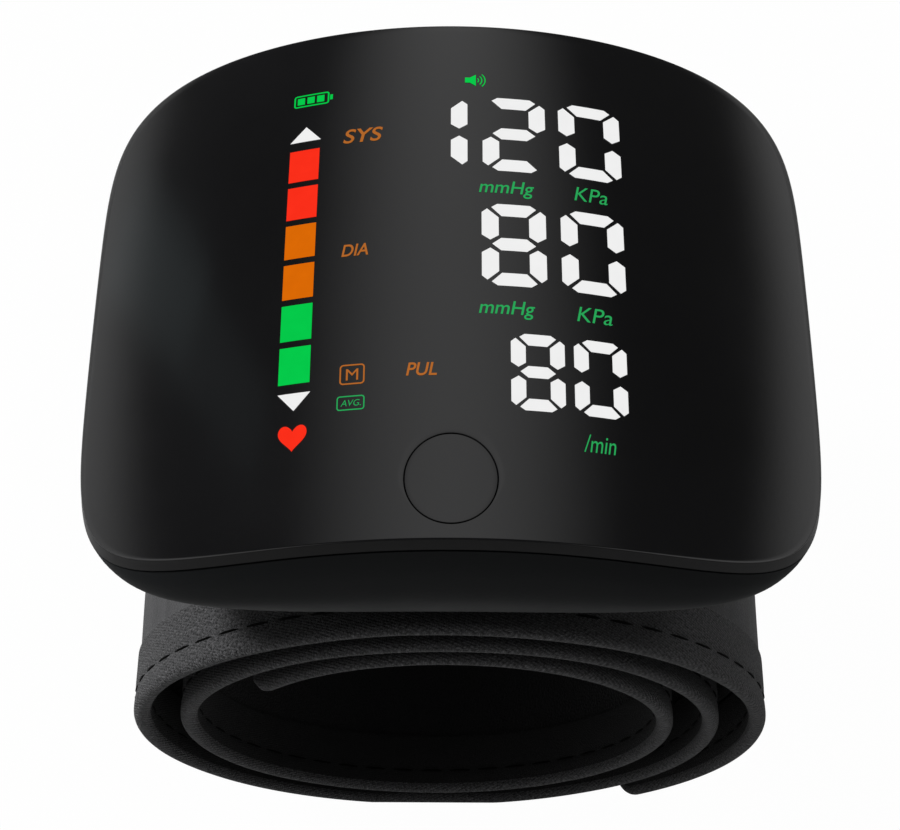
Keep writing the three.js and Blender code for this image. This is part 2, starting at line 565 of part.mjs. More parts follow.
function chargingSocket() {
  const backY = SOCKET_FRONT_Y - SOCKET_DEPTH;
  const shell = block(0, backY + SOCKET_DEPTH / 2, SOCKET_Z, SOCKET_WIDTH, SOCKET_DEPTH, SOCKET_HEIGHT);
  const mouth = block(0, SOCKET_FRONT_Y, SOCKET_Z + SOCKET_SHELL, SOCKET_WIDTH - 2 * SOCKET_SHELL,
    2 * SOCKET_DEPTH - 4 * SOCKET_SHELL, SOCKET_HEIGHT - 2 * SOCKET_SHELL);
  const tongueZ = SOCKET_Z + (SOCKET_HEIGHT - SOCKET_TONGUE) / 2;
  const tongue = block(0, backY + SOCKET_DEPTH / 2 - SOCKET_SHELL, tongueZ,
    SOCKET_WIDTH - 6 * SOCKET_SHELL, SOCKET_DEPTH - 2 * SOCKET_SHELL, SOCKET_TONGUE);
  return joined(cut(shell, mouth), tongue);
}

// Cuff

// A point of the roll at an angle and a depth below its outer surface; the underside is flattened to stand.
function rollPoint(angle, depth, y) {
  const turn = radians(angle);
  const radius = rollRadius(angle) - depth;
  const lift = ROLL_LIFT_PER_TURN * Math.max(0, angle - ROLL_LIFT_START_ANGLE) / TURN;
  const outerZ = ROLL_CENTRE_Z + ROLL_SQUASH * rollRadius(angle) * Math.sin(turn) + lift;
  return new THREE.Vector3(
    ROLL_OFFSET_X + radius * Math.cos(turn),
    y,
    ROLL_CENTRE_Z + ROLL_SQUASH * radius * Math.sin(turn) + lift + Math.max(0, -outerZ),
  );
}

// A band of cloth or sheet that follows the roll between two angles, with rounded long edges
function rollBand(from, to, depth, thickness, width, round) {
  const steps = Math.max(2, Math.round((to - from) / BAND_STEP_ANGLE));
  const half = width / 2;
  const section = [
    [depth + round, half],
    [depth + thickness - round, half],
    [depth + thickness, half - round],
    [depth + thickness, round - half],
    [depth + thickness - round, -half],
    [depth + round, -half],
    [depth, round - half],
    [depth, half - round],
  ];
  const rings = [];
  for (let i = 0; i <= steps; i += 1) {
    const angle = from + (to - from) * i / steps;
    rings.push(section.map(([at, y]) => rollPoint(angle, at, y)));
  }
  const middle = (angle) => rollPoint(angle, depth + thickness / 2, 0);
  return solidOf(skin([[middle(from)], ...rings, [middle(to)]]));
}

const hingeGap = SEAM_GAP / 2 / radians(1) / ROLL_START_RADIUS;
const bandRun = (from, to) => rollBand(from, to, 0, BAND_THICKNESS, CUFF_WIDTH, BAND_EDGE_ROUND);
const cuffFlap = () => bandRun(FLAP_TIP_ANGLE, FLAP_HINGE_ANGLE - hingeGap);
const cuffWrap = () => bandRun(WRAP_HINGE_ANGLE + hingeGap, WRAP_TIP_ANGLE);

const STACK_DEPTH = BAND_THICKNESS + BOW_THICKNESS + BLADDER_THICKNESS + 4 * LAYER_GAP;
const throughCuff = (x, y, radius) => post(x, y, ROLL_TOP_Z - STACK_DEPTH, radius, STACK_DEPTH + SEAM_GAP);
const cuffShaftHoles = () => CUFF_SCREWS.map(([x, y]) =>
  throughCuff(x, y, SCREW_SHAFT_RADIUS + SCREW_CLEARANCE));
const nippleHole = () => throughCuff(ROLL_OFFSET_X, MANIFOLD_Y, NIPPLE_RADIUS + NIPPLE_CLEARANCE);

const cuffRoot = () => cut(bandRun(FLAP_HINGE_ANGLE + hingeGap, WRAP_HINGE_ANGLE - hingeGap),
  ...cuffShaftHoles(), nippleHole());
const BOW_DEPTH = BAND_THICKNESS + LAYER_GAP;
const bowPlate = () => cut(
  rollBand(BOW_START_ANGLE, BOW_END_ANGLE, BOW_DEPTH, BOW_THICKNESS, BOW_WIDTH, BOW_THICKNESS / 4),
  ...cuffShaftHoles(), nippleHole());
const BLADDER_DEPTH = BOW_DEPTH + BOW_THICKNESS + LAYER_GAP;
const airBladder = () => cut(
  rollBand(BLADDER_START_ANGLE, BLADDER_END_ANGLE, BLADDER_DEPTH, BLADDER_THICKNESS, BLADDER_WIDTH,
    BLADDER_THICKNESS / 4), nippleHole());
const hookTape = () => rollBand(HOOK_START_ANGLE, HOOK_END_ANGLE, BAND_THICKNESS + LAYER_GAP, HOOK_THICKNESS,
  HOOK_WIDTH, HOOK_THICKNESS / 4);

// Materials and the finished group

const plastic = (color, roughness) => new THREE.MeshStandardMaterial({ color, roughness, metalness: 0 });
const metal = (color, roughness) => new THREE.MeshStandardMaterial({ color, roughness, metalness: 1 });
const PANEL = plastic(0x15161a, 0.25);
const CASE = plastic(0x17181b, 0.45);
const BOARD = plastic(0x14502e, 0.5);
const BLACK_PART = plastic(0x101010, 0.6);
const WHITE_PART = plastic(0xdedede, 0.5);
const LIGHT_PART = plastic(0xf2f2ea, 0.4);
const SOFT_TUBE = plastic(0xb9bec2, 0.5);
const BATTERY = plastic(0x9aa4ac, 0.4);
const STEEL = metal(0xb9bcc0, 0.35);
const CLOTH = plastic(0x26272a, 0.95);
const HOOK_CLOTH = plastic(0x141416, 0.95);
const BOW = plastic(0x3a3d42, 0.4);
const BLADDER = plastic(0x4b4f57, 0.5);

const model = new THREE.Group();

function add(name, solid, material) {
  const mesh = new THREE.Mesh(geometryOf(solid), material);
  mesh.name = name;
  model.add(mesh);
}

add('face_panel', facePanel(), PANEL);
add('lower_case', lowerCase(), CASE);
add('start_button', startButton(), PANEL);
add('tact_switch', tactSwitch(), BLACK_PART);
add('light_mask', lightMask(), WHITE_PART);
for (const { name, x, y, width, length } of LIGHT_WINDOWS) {
  const shrink = 2 * SEAM_GAP;
  const lights = block(x, y, BOARD_TOP_Z + SEAT_GAP, width - shrink, length - shrink, LIGHT_BLOCK_HEIGHT);
  add(name, lights, LIGHT_PART);
}
add('main_board', mainBoard(), BOARD);
add('processor', processor(), BLACK_PART);
add('pressure_sensor', pressureSensor(), BLACK_PART);
add('pump_motor', pumpMotor(), STEEL);
add('pump_head', pumpHead(), WHITE_PART);
add('release_valve', releaseValve(), STEEL);
add('air_manifold', airManifold(), WHITE_PART);
add('pump_tube', pumpTube(), SOFT_TUBE);
add('valve_tube', valveTube(), SOFT_TUBE);
add('sensor_tube', sensorTube(), SOFT_TUBE);
add('battery_cell', batteryCell(), BATTERY);
add('speaker', speaker(), BLACK_PART);
add('charging_socket', chargingSocket(), STEEL);
CASE_SCREWS.forEach(([x, y], i) => {
  const length = CASE_WALL + SEAM_GAP + SCREW_GRIP - 2 * SEAM_GAP;
  add(`case_screw_${i + 1}`, screw(x, y, UNDERSIDE_Z, length), STEEL);
});
add('air_nipple', airNipple(), WHITE_PART);
add('nipple_seal', nippleSeal(), BLACK_PART);
add('cuff_root', cuffRoot(), CLOTH);
add('cuff_flap', cuffFlap(), CLOTH);
add('cuff_wrap', cuffWrap(), CLOTH);
add('hook_tape', hookTape(), HOOK_CLOTH);
add('bow_plate', bowPlate(), BOW);
add('air_bladder', airBladder(), BLADDER);
CUFF_SCREWS.forEach(([x, y], i) => {
  const headZ = ROLL_TOP_Z - BAND_THICKNESS - BOW_THICKNESS - 3 * LAYER_GAP - SCREW_HEAD_HEIGHT;
  const length = FLOOR_Z + CUFF_BOSS_HEIGHT - headZ;
  add(`cuff_screw_${i + 1}`, screw(x, y, headZ, length), STEEL);
});

export default model;
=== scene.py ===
import bmesh
import bpy
import math
from mathutils import Matrix, Vector, noise


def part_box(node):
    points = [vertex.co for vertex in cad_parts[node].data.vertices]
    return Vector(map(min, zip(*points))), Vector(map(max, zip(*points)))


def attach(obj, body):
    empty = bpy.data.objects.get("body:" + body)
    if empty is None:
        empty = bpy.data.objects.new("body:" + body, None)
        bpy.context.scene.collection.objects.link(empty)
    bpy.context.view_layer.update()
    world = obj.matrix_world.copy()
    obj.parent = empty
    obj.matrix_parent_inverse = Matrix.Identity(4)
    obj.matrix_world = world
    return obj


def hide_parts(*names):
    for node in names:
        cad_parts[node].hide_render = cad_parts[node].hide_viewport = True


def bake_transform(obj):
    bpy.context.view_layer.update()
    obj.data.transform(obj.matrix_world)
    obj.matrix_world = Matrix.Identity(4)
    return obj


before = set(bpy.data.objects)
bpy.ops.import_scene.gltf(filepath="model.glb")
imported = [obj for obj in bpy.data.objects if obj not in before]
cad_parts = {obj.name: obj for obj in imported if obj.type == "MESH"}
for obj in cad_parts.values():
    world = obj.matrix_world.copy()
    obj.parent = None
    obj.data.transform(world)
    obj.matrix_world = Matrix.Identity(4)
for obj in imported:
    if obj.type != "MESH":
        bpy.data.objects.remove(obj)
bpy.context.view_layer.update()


# Lower case: the black tub under the face, with swelling end walls and a flat underside.
# One injection-moulded satin plastic shell; its rim stops a hair below the face panel,
# and holes for four screws, the sound and the charging plug are moulded in.
MM = 0.001
HOUSING_WIDTH = 72.0
FACE_LENGTH = 56.6
PLAN_POWER = 5.6
NEAR_PLAN_POWER = 6.2
CASE_FLOOR_POWER = 3.7
FACE_ARCH_RADIUS = 48.312
FACE_CROWN_RADIUS = 217.0
FACE_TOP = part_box("face_panel")[1].z / MM
PANEL_THICKNESS = 1.8
SEAM = 0.3
CASE_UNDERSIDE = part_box("lower_case")[0].z / MM
CASE_WALL = 1.4
CASE_UNDERCUT = 4.5
CASE_BULGE = 1.9
CASE_SIDE_DRAFT = 1.8
# Stations of the wall from rim to floor: share of the way down, undercut, bulge
CASE_PROFILE = ((0.0, 0.0, 0.0), (0.2, 0.0, 0.6), (0.45, 0.0, 1.0), (0.7, 0.12, 1.0), (0.9, 0.45, 1.0), (1.0, 1.0, 1.0))
CASE_ROUND_STEPS = 320
CASE_WALL_STEPS = 34
CUT_LOW, CUT_HIGH = CASE_UNDERSIDE - 0.4, CASE_UNDERSIDE + 2.2
SCREW_HEAD_HOLE, SCREW_HEAD_DEPTH = 1.95, 0.8
SCREW_SHAFT_HOLE, SCREW_SHAFT_START = 1.05, 0.79
SOUND_HOLES, SOUND_HOLE_CIRCLE, SOUND_HOLE_RADIUS, SOUND_HOLE_STEPS = 6, 2.6, 0.7, 28
PLUG_WIDTH, PLUG_HEIGHT, PLUG_CORNER = 9.6, 3.8, 1.7
PLUG_CUT = (22.0, 36.0)
CASE_SHARP_DEGREES = 32
CASE_BLACK = (0.0034, 0.004, 0.0043, 1)
CASE_BLACK_WORN = (0.0048, 0.0055, 0.0059, 1)


def face_height(x, y):
    return FACE_TOP - x * x / (2 * FACE_ARCH_RADIUS) - y * y / (2 * FACE_CROWN_RADIUS)


def plan_power(y, share=0.0):
    """How square the outline's corners are: squarer at the near end, rounder towards the case's floor."""
    rim = NEAR_PLAN_POWER if y < 0 else PLAN_POWER
    return rim + share * (CASE_FLOOR_POWER - rim)


def plan_ring(inset_x, inset_y, height, steps, share):
    """One ring of the housing's outline, inset at its sides and ends; height is a function of x and y."""
    a, b = HOUSING_WIDTH / 2 - inset_x, FACE_LENGTH / 2 - inset_y
    ring = []
    for i in range(steps):
        c, s = math.cos(2 * math.pi * i / steps), math.sin(2 * math.pi * i / steps)
        power = plan_power(s, share)
        reach = (abs(c / a) ** power + abs(s / b) ** power) ** (-1 / power)
        ring.append((reach * c, reach * s, height(reach * c, reach * s)))
    return ring


def smooth_run(stations, steps):
    """Points on a smooth line through the stations, which are tuples of numbers."""
    run = []
    for i in range(steps + 1):
        t = (len(stations) - 1) * i / steps
        k = min(int(t), len(stations) - 2)
        u = t - k
        p0, p1 = stations[max(k - 1, 0)], stations[k]
        p2, p3 = stations[k + 1], stations[min(k + 2, len(stations) - 1)]
        run.append(tuple(
            0.5 * (2 * b + (c - a) * u + (2 * a - 5 * b + 4 * c - d) * u * u + (3 * b - a - 3 * c + d) * u ** 3)
            for a, b, c, d in zip(p0, p1, p2, p3)))
    return run


def join_rings(mesh, low, high, slot=0):
    for i in range(len(low)):
        j = (i + 1) % len(low)
        mesh.faces.new((low[i], low[j], high[j], high[i])).material_index = slot


def skin(rings, loop=False, first=None, last=None):
    """A mesh over rings of equal count; first and last are points that close the two ends."""
    mesh = bmesh.new()
    rows = [[mesh.verts.new(Vector(p) * MM) for p in ring] for ring in rings]
    pairs = list(zip(rows, rows[1:])) + ([(rows[-1], rows[0])] if loop else [])
    for low, high in pairs:
        join_rings(mesh, low, high)
    for point, row, order in ((first, rows[0], -1), (last, rows[-1], 1)):
        if point is not None:
            tip = mesh.verts.new(Vector(point) * MM)
            for i in range(len(row)):
                j = (i + 1) % len(row)
                mesh.faces.new((row[i], row[j], tip)[::order])
    bmesh.ops.recalc_face_normals(mesh, faces=mesh.faces)
    return mesh


def piece(name, mesh, sharp_degrees=40):
    """A smooth-shaded object from a mesh, creased where faces meet at more than an angle."""
    data = bpy.data.meshes.new(name)
    mesh.to_mesh(data)
    mesh.free()
    for polygon in data.polygons:
        polygon.use_smooth = True
    data.set_sharp_from_angle(angle=math.radians(sharp_degrees))
    obj = bpy.data.objects.new(name, data)
    bpy.context.collection.objects.link(obj)
    return obj


def case_rim(x, y):
    return face_height(x, y) - PANEL_THICKNESS - SEAM


def case_rings(inset, bottom):
    rings = []
    for share, undercut, bulge in smooth_run(CASE_PROFILE, CASE_WALL_STEPS):
        inset_x = inset + max(0.0, undercut * CASE_UNDERCUT) + share * CASE_SIDE_DRAFT
        inset_y = inset + undercut * CASE_UNDERCUT - bulge * CASE_BULGE
        rings.append(plan_ring(inset_x, inset_y, lambda x, y: case_rim(x, y) + share * (bottom - case_rim(x, y)),
                               CASE_ROUND_STEPS, share))
    return rings


def rounded_slot(width, height, radius, steps=10):
    corners = []
    for cx, cy, start in ((1, 1, 0), (-1, 1, 90), (-1, -1, 180), (1, -1, 270)):
        for k in range(steps + 1):
            turn = math.radians(start + 90 * k / steps)
            corners.append((cx * (width / 2 - radius) + radius * math.cos(turn),
                            cy * (height / 2 - radius) + radius * math.sin(turn)))
    return corners


def round_hole(x, y, radius, low, high, steps=48):
    turn = [2 * math.pi * k / steps for k in range(steps)]
    return [[(x + radius * math.cos(t), y + radius * math.sin(t), z) for t in turn] for z in (low, high)]


case_floor = CASE_UNDERSIDE + CASE_WALL
case_mesh = skin(case_rings(0, CASE_UNDERSIDE)[::-1] + case_rings(CASE_WALL, case_floor),
                 first=(0, 0, CASE_UNDERSIDE), last=(0, 0, case_floor))
lower_case = piece("lower_case_shell", case_mesh)

cutters = bmesh.new()


def add_cutter(rings):
    low, high = [[cutters.verts.new(Vector(p) * MM) for p in ring] for ring in rings]
    cutters.faces.new(low[::-1])
    cutters.faces.new(high)
    join_rings(cutters, low, high)


for number in range(1, 5):
    low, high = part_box(f"case_screw_{number}")
    sx, sy = (low.x + high.x) / 2 / MM, (low.y + high.y) / 2 / MM
    add_cutter(round_hole(sx, sy, SCREW_HEAD_HOLE, CUT_LOW, CASE_UNDERSIDE + SCREW_HEAD_DEPTH))
    add_cutter(round_hole(sx, sy, SCREW_SHAFT_HOLE, CASE_UNDERSIDE + SCREW_SHAFT_START, CUT_HIGH))
low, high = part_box("speaker")
speaker_x, speaker_y = (low.x + high.x) / 2 / MM, (low.y + high.y) / 2 / MM
for k in range(SOUND_HOLES + 1):
    turn, reach = 2 * math.pi * k / SOUND_HOLES, SOUND_HOLE_CIRCLE if k < SOUND_HOLES else 0
    add_cutter(round_hole(speaker_x + reach * math.cos(turn), speaker_y + reach * math.sin(turn), SOUND_HOLE_RADIUS,
                          CUT_LOW, CUT_HIGH, SOUND_HOLE_STEPS))
low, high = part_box("charging_socket")
socket_z = (low.z + high.z) / 2 / MM
plug_outline = rounded_slot(PLUG_WIDTH, PLUG_HEIGHT, PLUG_CORNER)[::-1]
add_cutter([[(x, y, socket_z + z) for x, z in plug_outline] for y in PLUG_CUT])
bmesh.ops.recalc_face_normals(cutters, faces=cutters.faces)
case_cutter = piece("case_cutter", cutters)
cutting = lower_case.modifiers.new("holes", "BOOLEAN")
cutting.object = case_cutter
cutting.operation = "DIFFERENCE"
cutting.solver = "EXACT"
cut_mesh = bpy.data.meshes.new_from_object(lower_case.evaluated_get(bpy.context.evaluated_depsgraph_get()))
lower_case.modifiers.clear()
lower_case.data = cut_mesh
cut_mesh.set_sharp_from_angle(angle=math.radians(CASE_SHARP_DEGREES))
bpy.data.objects.remove(case_cutter)


def shader_group(name, inputs, outputs):
    group = bpy.data.node_groups.new(name, "ShaderNodeTree")
    for label, kind, value in inputs:
        socket = group.interface.new_socket(name=label, in_out="INPUT", socket_type=kind)
        socket.default_value = value
    for label, kind in outputs:
        group.interface.new_socket(name=label, in_out="OUTPUT", socket_type=kind)
    return group, group.nodes.new("NodeGroupInput"), group.nodes.new("NodeGroupOutput")


def feed(tree, socket, value):
    """Gives a socket a value, or a link if the value is another node's output."""
    if isinstance(value, bpy.types.NodeSocket):
        tree.links.new(value, socket)
    else:
        socket.default_value = value


def node(tree, kind, settings=(), **inputs):
    """A node with its inputs given by name, or by number as i0, i1 and so on."""
    made = tree.nodes.new(kind)
    for key, value in dict(settings).items():
        setattr(made, key, value)
    for key, value in inputs.items():
        numbered = key[0] == "i" and key[1:].isdigit()
        feed(tree, made.inputs[int(key[1:]) if numbered else key.replace("_", " ")], value)
    return made


def calc(tree, operation, a, b=0.0, c=0.0):
    return node(tree, "ShaderNodeMath", {"operation": operation}, i0=a, i1=b, i2=c).outputs[0]


def blend_colour(tree, factor, a, b):
    mix = node(tree, "ShaderNodeMix", {"data_type": "RGBA"})
    for socket, value in ((mix.inputs[0], factor), (mix.inputs[6], a), (mix.inputs[7], b)):
        feed(tree, socket, value)
    return mix.outputs[2]


FLOAT, COLOUR = "NodeSocketFloat", "NodeSocketColor"
GRAIN_DEPTH = 0.0001
FINE_SHARE, PATCH_SHARE = 0.35, 0.65
moulded, ins, outs = shader_group(
    "moulded_grain",
    (("Dark", COLOUR, (0.01, 0.01, 0.01, 1)), ("Light", COLOUR, (0.02, 0.02, 0.02, 1)), ("Grain", FLOAT, 1500.0),
     ("Cloud", FLOAT, 60.0), ("Smooth", FLOAT, 0.3), ("Rough", FLOAT, 0.45)),
    (("Colour", COLOUR), ("Roughness", FLOAT), ("Height", FLOAT)))
place = node(moulded, "ShaderNodeTexCoord").outputs["Object"]
fine = node(moulded, "ShaderNodeTexNoise", Vector=place, Scale=ins.outputs["Grain"], Detail=3.0).outputs["Fac"]
broad = node(moulded, "ShaderNodeTexNoise", Vector=place, Scale=ins.outputs["Cloud"], Detail=4.0,
             Roughness=0.6).outputs["Fac"]
patch = node(moulded, "ShaderNodeMapRange", Value=broad, From_Min=0.35, From_Max=0.7).outputs["Result"]
moulded.links.new(blend_colour(moulded, patch, ins.outputs["Dark"], ins.outputs["Light"]), outs.inputs["Colour"])
spread = calc(moulded, "SUBTRACT", ins.outputs["Rough"], ins.outputs["Smooth"])
speckle = calc(moulded, "MULTIPLY_ADD", fine, FINE_SHARE, calc(moulded, "MULTIPLY", patch, PATCH_SHARE))
moulded.links.new(calc(moulded, "MULTIPLY_ADD", speckle, spread, ins.outputs["Smooth"]), outs.inputs["Roughness"])
moulded.links.new(fine, outs.inputs["Height"])


def new_material(name):
    mat = bpy.data.materials.new(name)
    mat.use_nodes = True
    return mat, mat.node_tree, mat.node_tree.nodes["Principled BSDF"]


def grouped_material(name, group_tree, values, bump, depth, shine):
    """A material whose colour, roughness and fine relief come from a node group."""
    mat, tree, shader = new_material(name)
    group = tree.nodes.new("ShaderNodeGroup")
    group.node_tree = group_tree
    for label, value in values.items():
        group.inputs[label].default_value = value
    lifted = node(tree, "ShaderNodeBump", Strength=bump, Distance=depth, Height=group.outputs["Height"])
    tree.links.new(group.outputs["Colour"], shader.inputs["Base Color"])
    tree.links.new(group.outputs["Roughness"], shader.inputs["Roughness"])
    tree.links.new(lifted.outputs["Normal"], shader.inputs["Normal"])
    shader.inputs["Specular IOR Level"].default_value = shine
    return mat, shader


def moulded_material(name, dark, light, smooth, rough, grain=1500.0, cloud=60.0, bump=0.05, metallic=0.0, shine=0.5):
    values = {"Dark": dark, "Light": light, "Grain": grain, "Cloud": cloud, "Smooth": smooth, "Rough": rough}
    mat, shader = grouped_material(name, moulded, values, bump, GRAIN_DEPTH, shine)
    shader.inputs["Metallic"].default_value = metallic
    return mat


lower_case.data.materials.clear()
lower_case.data.materials.append(moulded_material(
    "satin_case_plastic", CASE_BLACK, CASE_BLACK_WORN, 0.5, 0.62, grain=2600.0, cloud=90.0, bump=0.12, shine=0.06))
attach(lower_case, "monitor")
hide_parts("lower_case")


# Board, pump and the other parts inside the case, with the screws that close it and hold the cuff.
# Bought-in parts of steel, moulded plastic and board, soldered, pressed or screwed in place;
# their shapes come from the frame and each gets its own finish here.
def dress(nodes, mat):
    for name in nodes:
        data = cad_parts[name].data
        data.materials.clear()
        data.materials.append(mat)


board_finish, tree, shader = new_material("board_lacquer")
tracks = node(tree, "ShaderNodeTexBrick", Color1=(0.01, 0.085, 0.035, 1), Color2=(0.008, 0.07, 0.03, 1),
              Mortar=(0.03, 0.16, 0.06, 1), Scale=420.0, Mortar_Size=0.03,
              Vector=node(tree, "ShaderNodeTexCoord").outputs["Object"])
tree.links.new(tracks.outputs["Color"], shader.inputs["Base Color"])
rise = node(tree, "ShaderNodeBump", Strength=0.3, Distance=0.0001, Height=tracks.outputs["Fac"])
tree.links.new(rise.outputs["Normal"], shader.inputs["Normal"])
shader.inputs["Roughness"].default_value = 0.35
dress(["main_board"], board_finish)
dress(["tact_switch", "processor", "pressure_sensor", "speaker"],
      moulded_material("black_component", (0.006, 0.006, 0.006, 1), (0.016, 0.016, 0.016, 1), 0.4, 0.65, bump=0.2))
dress(["light_mask", "pump_head", "air_manifold", "air_nipple"],
      moulded_material("white_moulding", (0.62, 0.62, 0.6, 1), (0.74, 0.74, 0.72, 1), 0.35, 0.5, bump=0.08))
dress(["bar_lights", "digit_lights_1", "digit_lights_2", "digit_lights_3"],
      moulded_material("light_block", (0.72, 0.72, 0.66, 1), (0.86, 0.86, 0.8, 1), 0.25, 0.4, bump=0.05))
dress(["battery_cell"],
      moulded_material("battery_foil", (0.28, 0.31, 0.34, 1), (0.36, 0.39, 0.42, 1), 0.25, 0.42, grain=300.0,
                       bump=0.3, metallic=0.6))
dress(["pump_motor", "release_valve", "charging_socket", "case_screw_1", "case_screw_2", "case_screw_3", "case_screw_4",
       "cuff_screw_1", "cuff_screw_2"],
      moulded_material("bright_steel", (0.42, 0.42, 0.43, 1), (0.56, 0.56, 0.57, 1), 0.22, 0.4, grain=3000.0,
                       cloud=200.0, bump=0.08, metallic=1.0))


# Air tubes: three short silicone tubes between pump, manifold, valve and sensor.
# Cut from soft pale grey tubing and pushed over the spigots; the cut ends are slightly rounded.
TUBE_RADIUS = 1.5
TUBE_BORE_RADIUS = 0.95
TUBE_END_ROUND = 0.15
TUBE_STEPS = 40
tube_silicone = moulded_material("tube_silicone", (0.42, 0.44, 0.46, 1), (0.5, 0.52, 0.54, 1), 0.3, 0.45, bump=0.05)


def air_tube(name, cad_node, axis):
    low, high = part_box(cad_node)
    centre = (low + high) / 2 / MM
    length = (high[axis] - low[axis]) / MM
    across = [k for k in range(3) if k != axis]
    e, bore, outside = TUBE_END_ROUND, TUBE_BORE_RADIUS, TUBE_RADIUS
    profile = ((bore + e, 0), (outside - e, 0), (outside, e), (outside, length / 2), (outside, length - e),
               (outside - e, length), (bore + e, length), (bore, length - e), (bore, length / 2), (bore, e))
    rings = []
    for radius, along in profile:
        ring = []
        for k in range(TUBE_STEPS):
            turn = 2 * math.pi * k / TUBE_STEPS
            point = [0.0, 0.0, 0.0]
            point[axis] = centre[axis] - length / 2 + along
            point[across[0]] = centre[across[0]] + radius * math.cos(turn)
            point[across[1]] = centre[across[1]] + radius * math.sin(turn)
            ring.append(tuple(point))
        rings.append(ring)
    tube = piece(name, skin(rings, loop=True))
    tube.data.materials.append(tube_silicone)
    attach(tube, "monitor")
    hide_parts(cad_node)


air_tube("pump_air_tube", "pump_tube", 1)
air_tube("valve_air_tube", "valve_tube", 0)
air_tube("sensor_air_tube", "sensor_tube", 2)


# Nipple seal: a black rubber ring that keeps the air in where the nipple leaves the case.
# Moulded nitrile rubber, dropped into a groove round the nipple.
SEAL_OVERSIZE = 1.02
SEAL_STEPS, SEAL_SECTION_STEPS = 72, 20

low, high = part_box("nipple_seal")
seal_centre = (low + high) / 2 / MM
seal_section = (high.z - low.z) / 2 / MM * SEAL_OVERSIZE
seal_radius = (high.x - low.x) / 2 / MM - seal_section
seal_rings = []
seal_turns = [2 * math.pi * i / SEAL_SECTION_STEPS for i in range(SEAL_SECTION_STEPS)]
for k in range(SEAL_STEPS):
    turn = 2 * math.pi * k / SEAL_STEPS
    seal_rings.append([(seal_centre.x + (seal_radius + seal_section * math.cos(a)) * math.cos(turn),
                        seal_centre.y + (seal_radius + seal_section * math.cos(a)) * math.sin(turn),
                        seal_centre.z + seal_section * math.sin(a)) for a in seal_turns])
nipple_ring = piece("nipple_seal_ring", skin(seal_rings, loop=True))
nipple_ring.data.materials.append(moulded_material(
    "seal_rubber", (0.008, 0.008, 0.008, 1), (0.014, 0.014, 0.014, 1), 0.5, 0.7, bump=0.1))
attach(nipple_ring, "monitor")
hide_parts("nipple_seal")


# Face panel: the arched dark cover that the figures shine through, with a round hole for the button.
# Moulded in smoke-black plastic, glossy on top and satin on its leaning side, with a fine crease between them.
BUTTON_FROM_EDGE = 5.85
BUTTON_Y = BUTTON_FROM_EDGE - FACE_LENGTH / 2
BUTTON_HOLE_RADIUS = 4.2
HOLE_EDGE_ROUND = 0.04
HOLE_EDGE_MIDDLE = 0.3 * HOLE_EDGE_ROUND
HOLE_WALL_DROPS = (PANEL_THICKNESS, 1.0, HOLE_EDGE_ROUND)
HOLE_MARGIN = 1
# Stations of the side from the top: inset, drop
PANEL_SIDE = ((0.42, 0.0), (0.34, 0.02), (0.29, 0.07), (0.26, 0.15), (0.04, 1.6), (0.0, 1.72), (0.08, PANEL_THICKNESS))
PANEL_SPOKES = 540
PANEL_RINGS = 56
PANEL_UNDER_RINGS = 12
OUTLINE_HALVINGS = 46
STEEP_SIDE = 0.4
PANEL_BLACK = (0.0022, 0.0022, 0.0024, 1)
PANEL_BLACK_SOFT = (0.003, 0.003, 0.0033, 1)


def reach_to_outline(turn, inset):
    """How far the outline lies from the middle of the button in a direction."""
    a, b = HOUSING_WIDTH / 2 - inset, FACE_LENGTH / 2 - inset
    near, far = 0.0, HOUSING_WIDTH
    for _ in range(OUTLINE_HALVINGS):
        middle = (near + far) / 2
        x, y = middle * math.cos(turn), BUTTON_Y + middle * math.sin(turn)
        power = plan_power(y)
        if abs(x / a) ** power + abs(y / b) ** power < 1:
            near = middle
        else:
            far = middle
    return near


panel_turns = [2 * math.pi * i / PANEL_SPOKES for i in range(PANEL_SPOKES)]
outline_reach = [reach_to_outline(t, PANEL_SIDE[0][0]) for t in panel_turns]


def panel_ring(reaches, drop):
    ring = []
    for turn, reach in zip(panel_turns, reaches):
        x, y = reach * math.cos(turn), BUTTON_Y + reach * math.sin(turn)
        ring.append((x, y, face_height(x, y) - drop))
    return ring


panel_rings = [panel_ring([BUTTON_HOLE_RADIUS] * PANEL_SPOKES, drop) for drop in HOLE_WALL_DROPS]
panel_rings.append(panel_ring([BUTTON_HOLE_RADIUS + HOLE_EDGE_MIDDLE] * PANEL_SPOKES, HOLE_EDGE_MIDDLE))
for k in range(PANEL_RINGS + 1):
    share = k / PANEL_RINGS
    start = BUTTON_HOLE_RADIUS + HOLE_EDGE_ROUND
    panel_rings.append(panel_ring([start + (reach - start) * share for reach in outline_reach], 0))
for inset, drop in PANEL_SIDE[1:]:
    panel_rings.append(panel_ring([reach_to_outline(t, inset) for t in panel_turns], drop))
outer_reach = [reach_to_outline(t, 0) for t in panel_turns]
for k in range(1, PANEL_UNDER_RINGS):
    share = 1 - k / PANEL_UNDER_RINGS
    inward = [BUTTON_HOLE_RADIUS + (reach - BUTTON_HOLE_RADIUS) * share for reach in outer_reach]
    panel_rings.append(panel_ring(inward, PANEL_THICKNESS))
face_panel = piece("face_cover", skin(panel_rings, loop=True), sharp_degrees=60)
face_panel.data.materials.append(moulded_material(
    "smoke_black_gloss", PANEL_BLACK, PANEL_BLACK_SOFT, 0.13, 0.19, grain=1800.0, cloud=45.0, bump=0.02))
face_panel.data.materials.append(moulded_material(
    "panel_side_satin", PANEL_BLACK, PANEL_BLACK_SOFT, 0.3, 0.38, grain=1800.0, cloud=45.0, bump=0.03, shine=0.07))
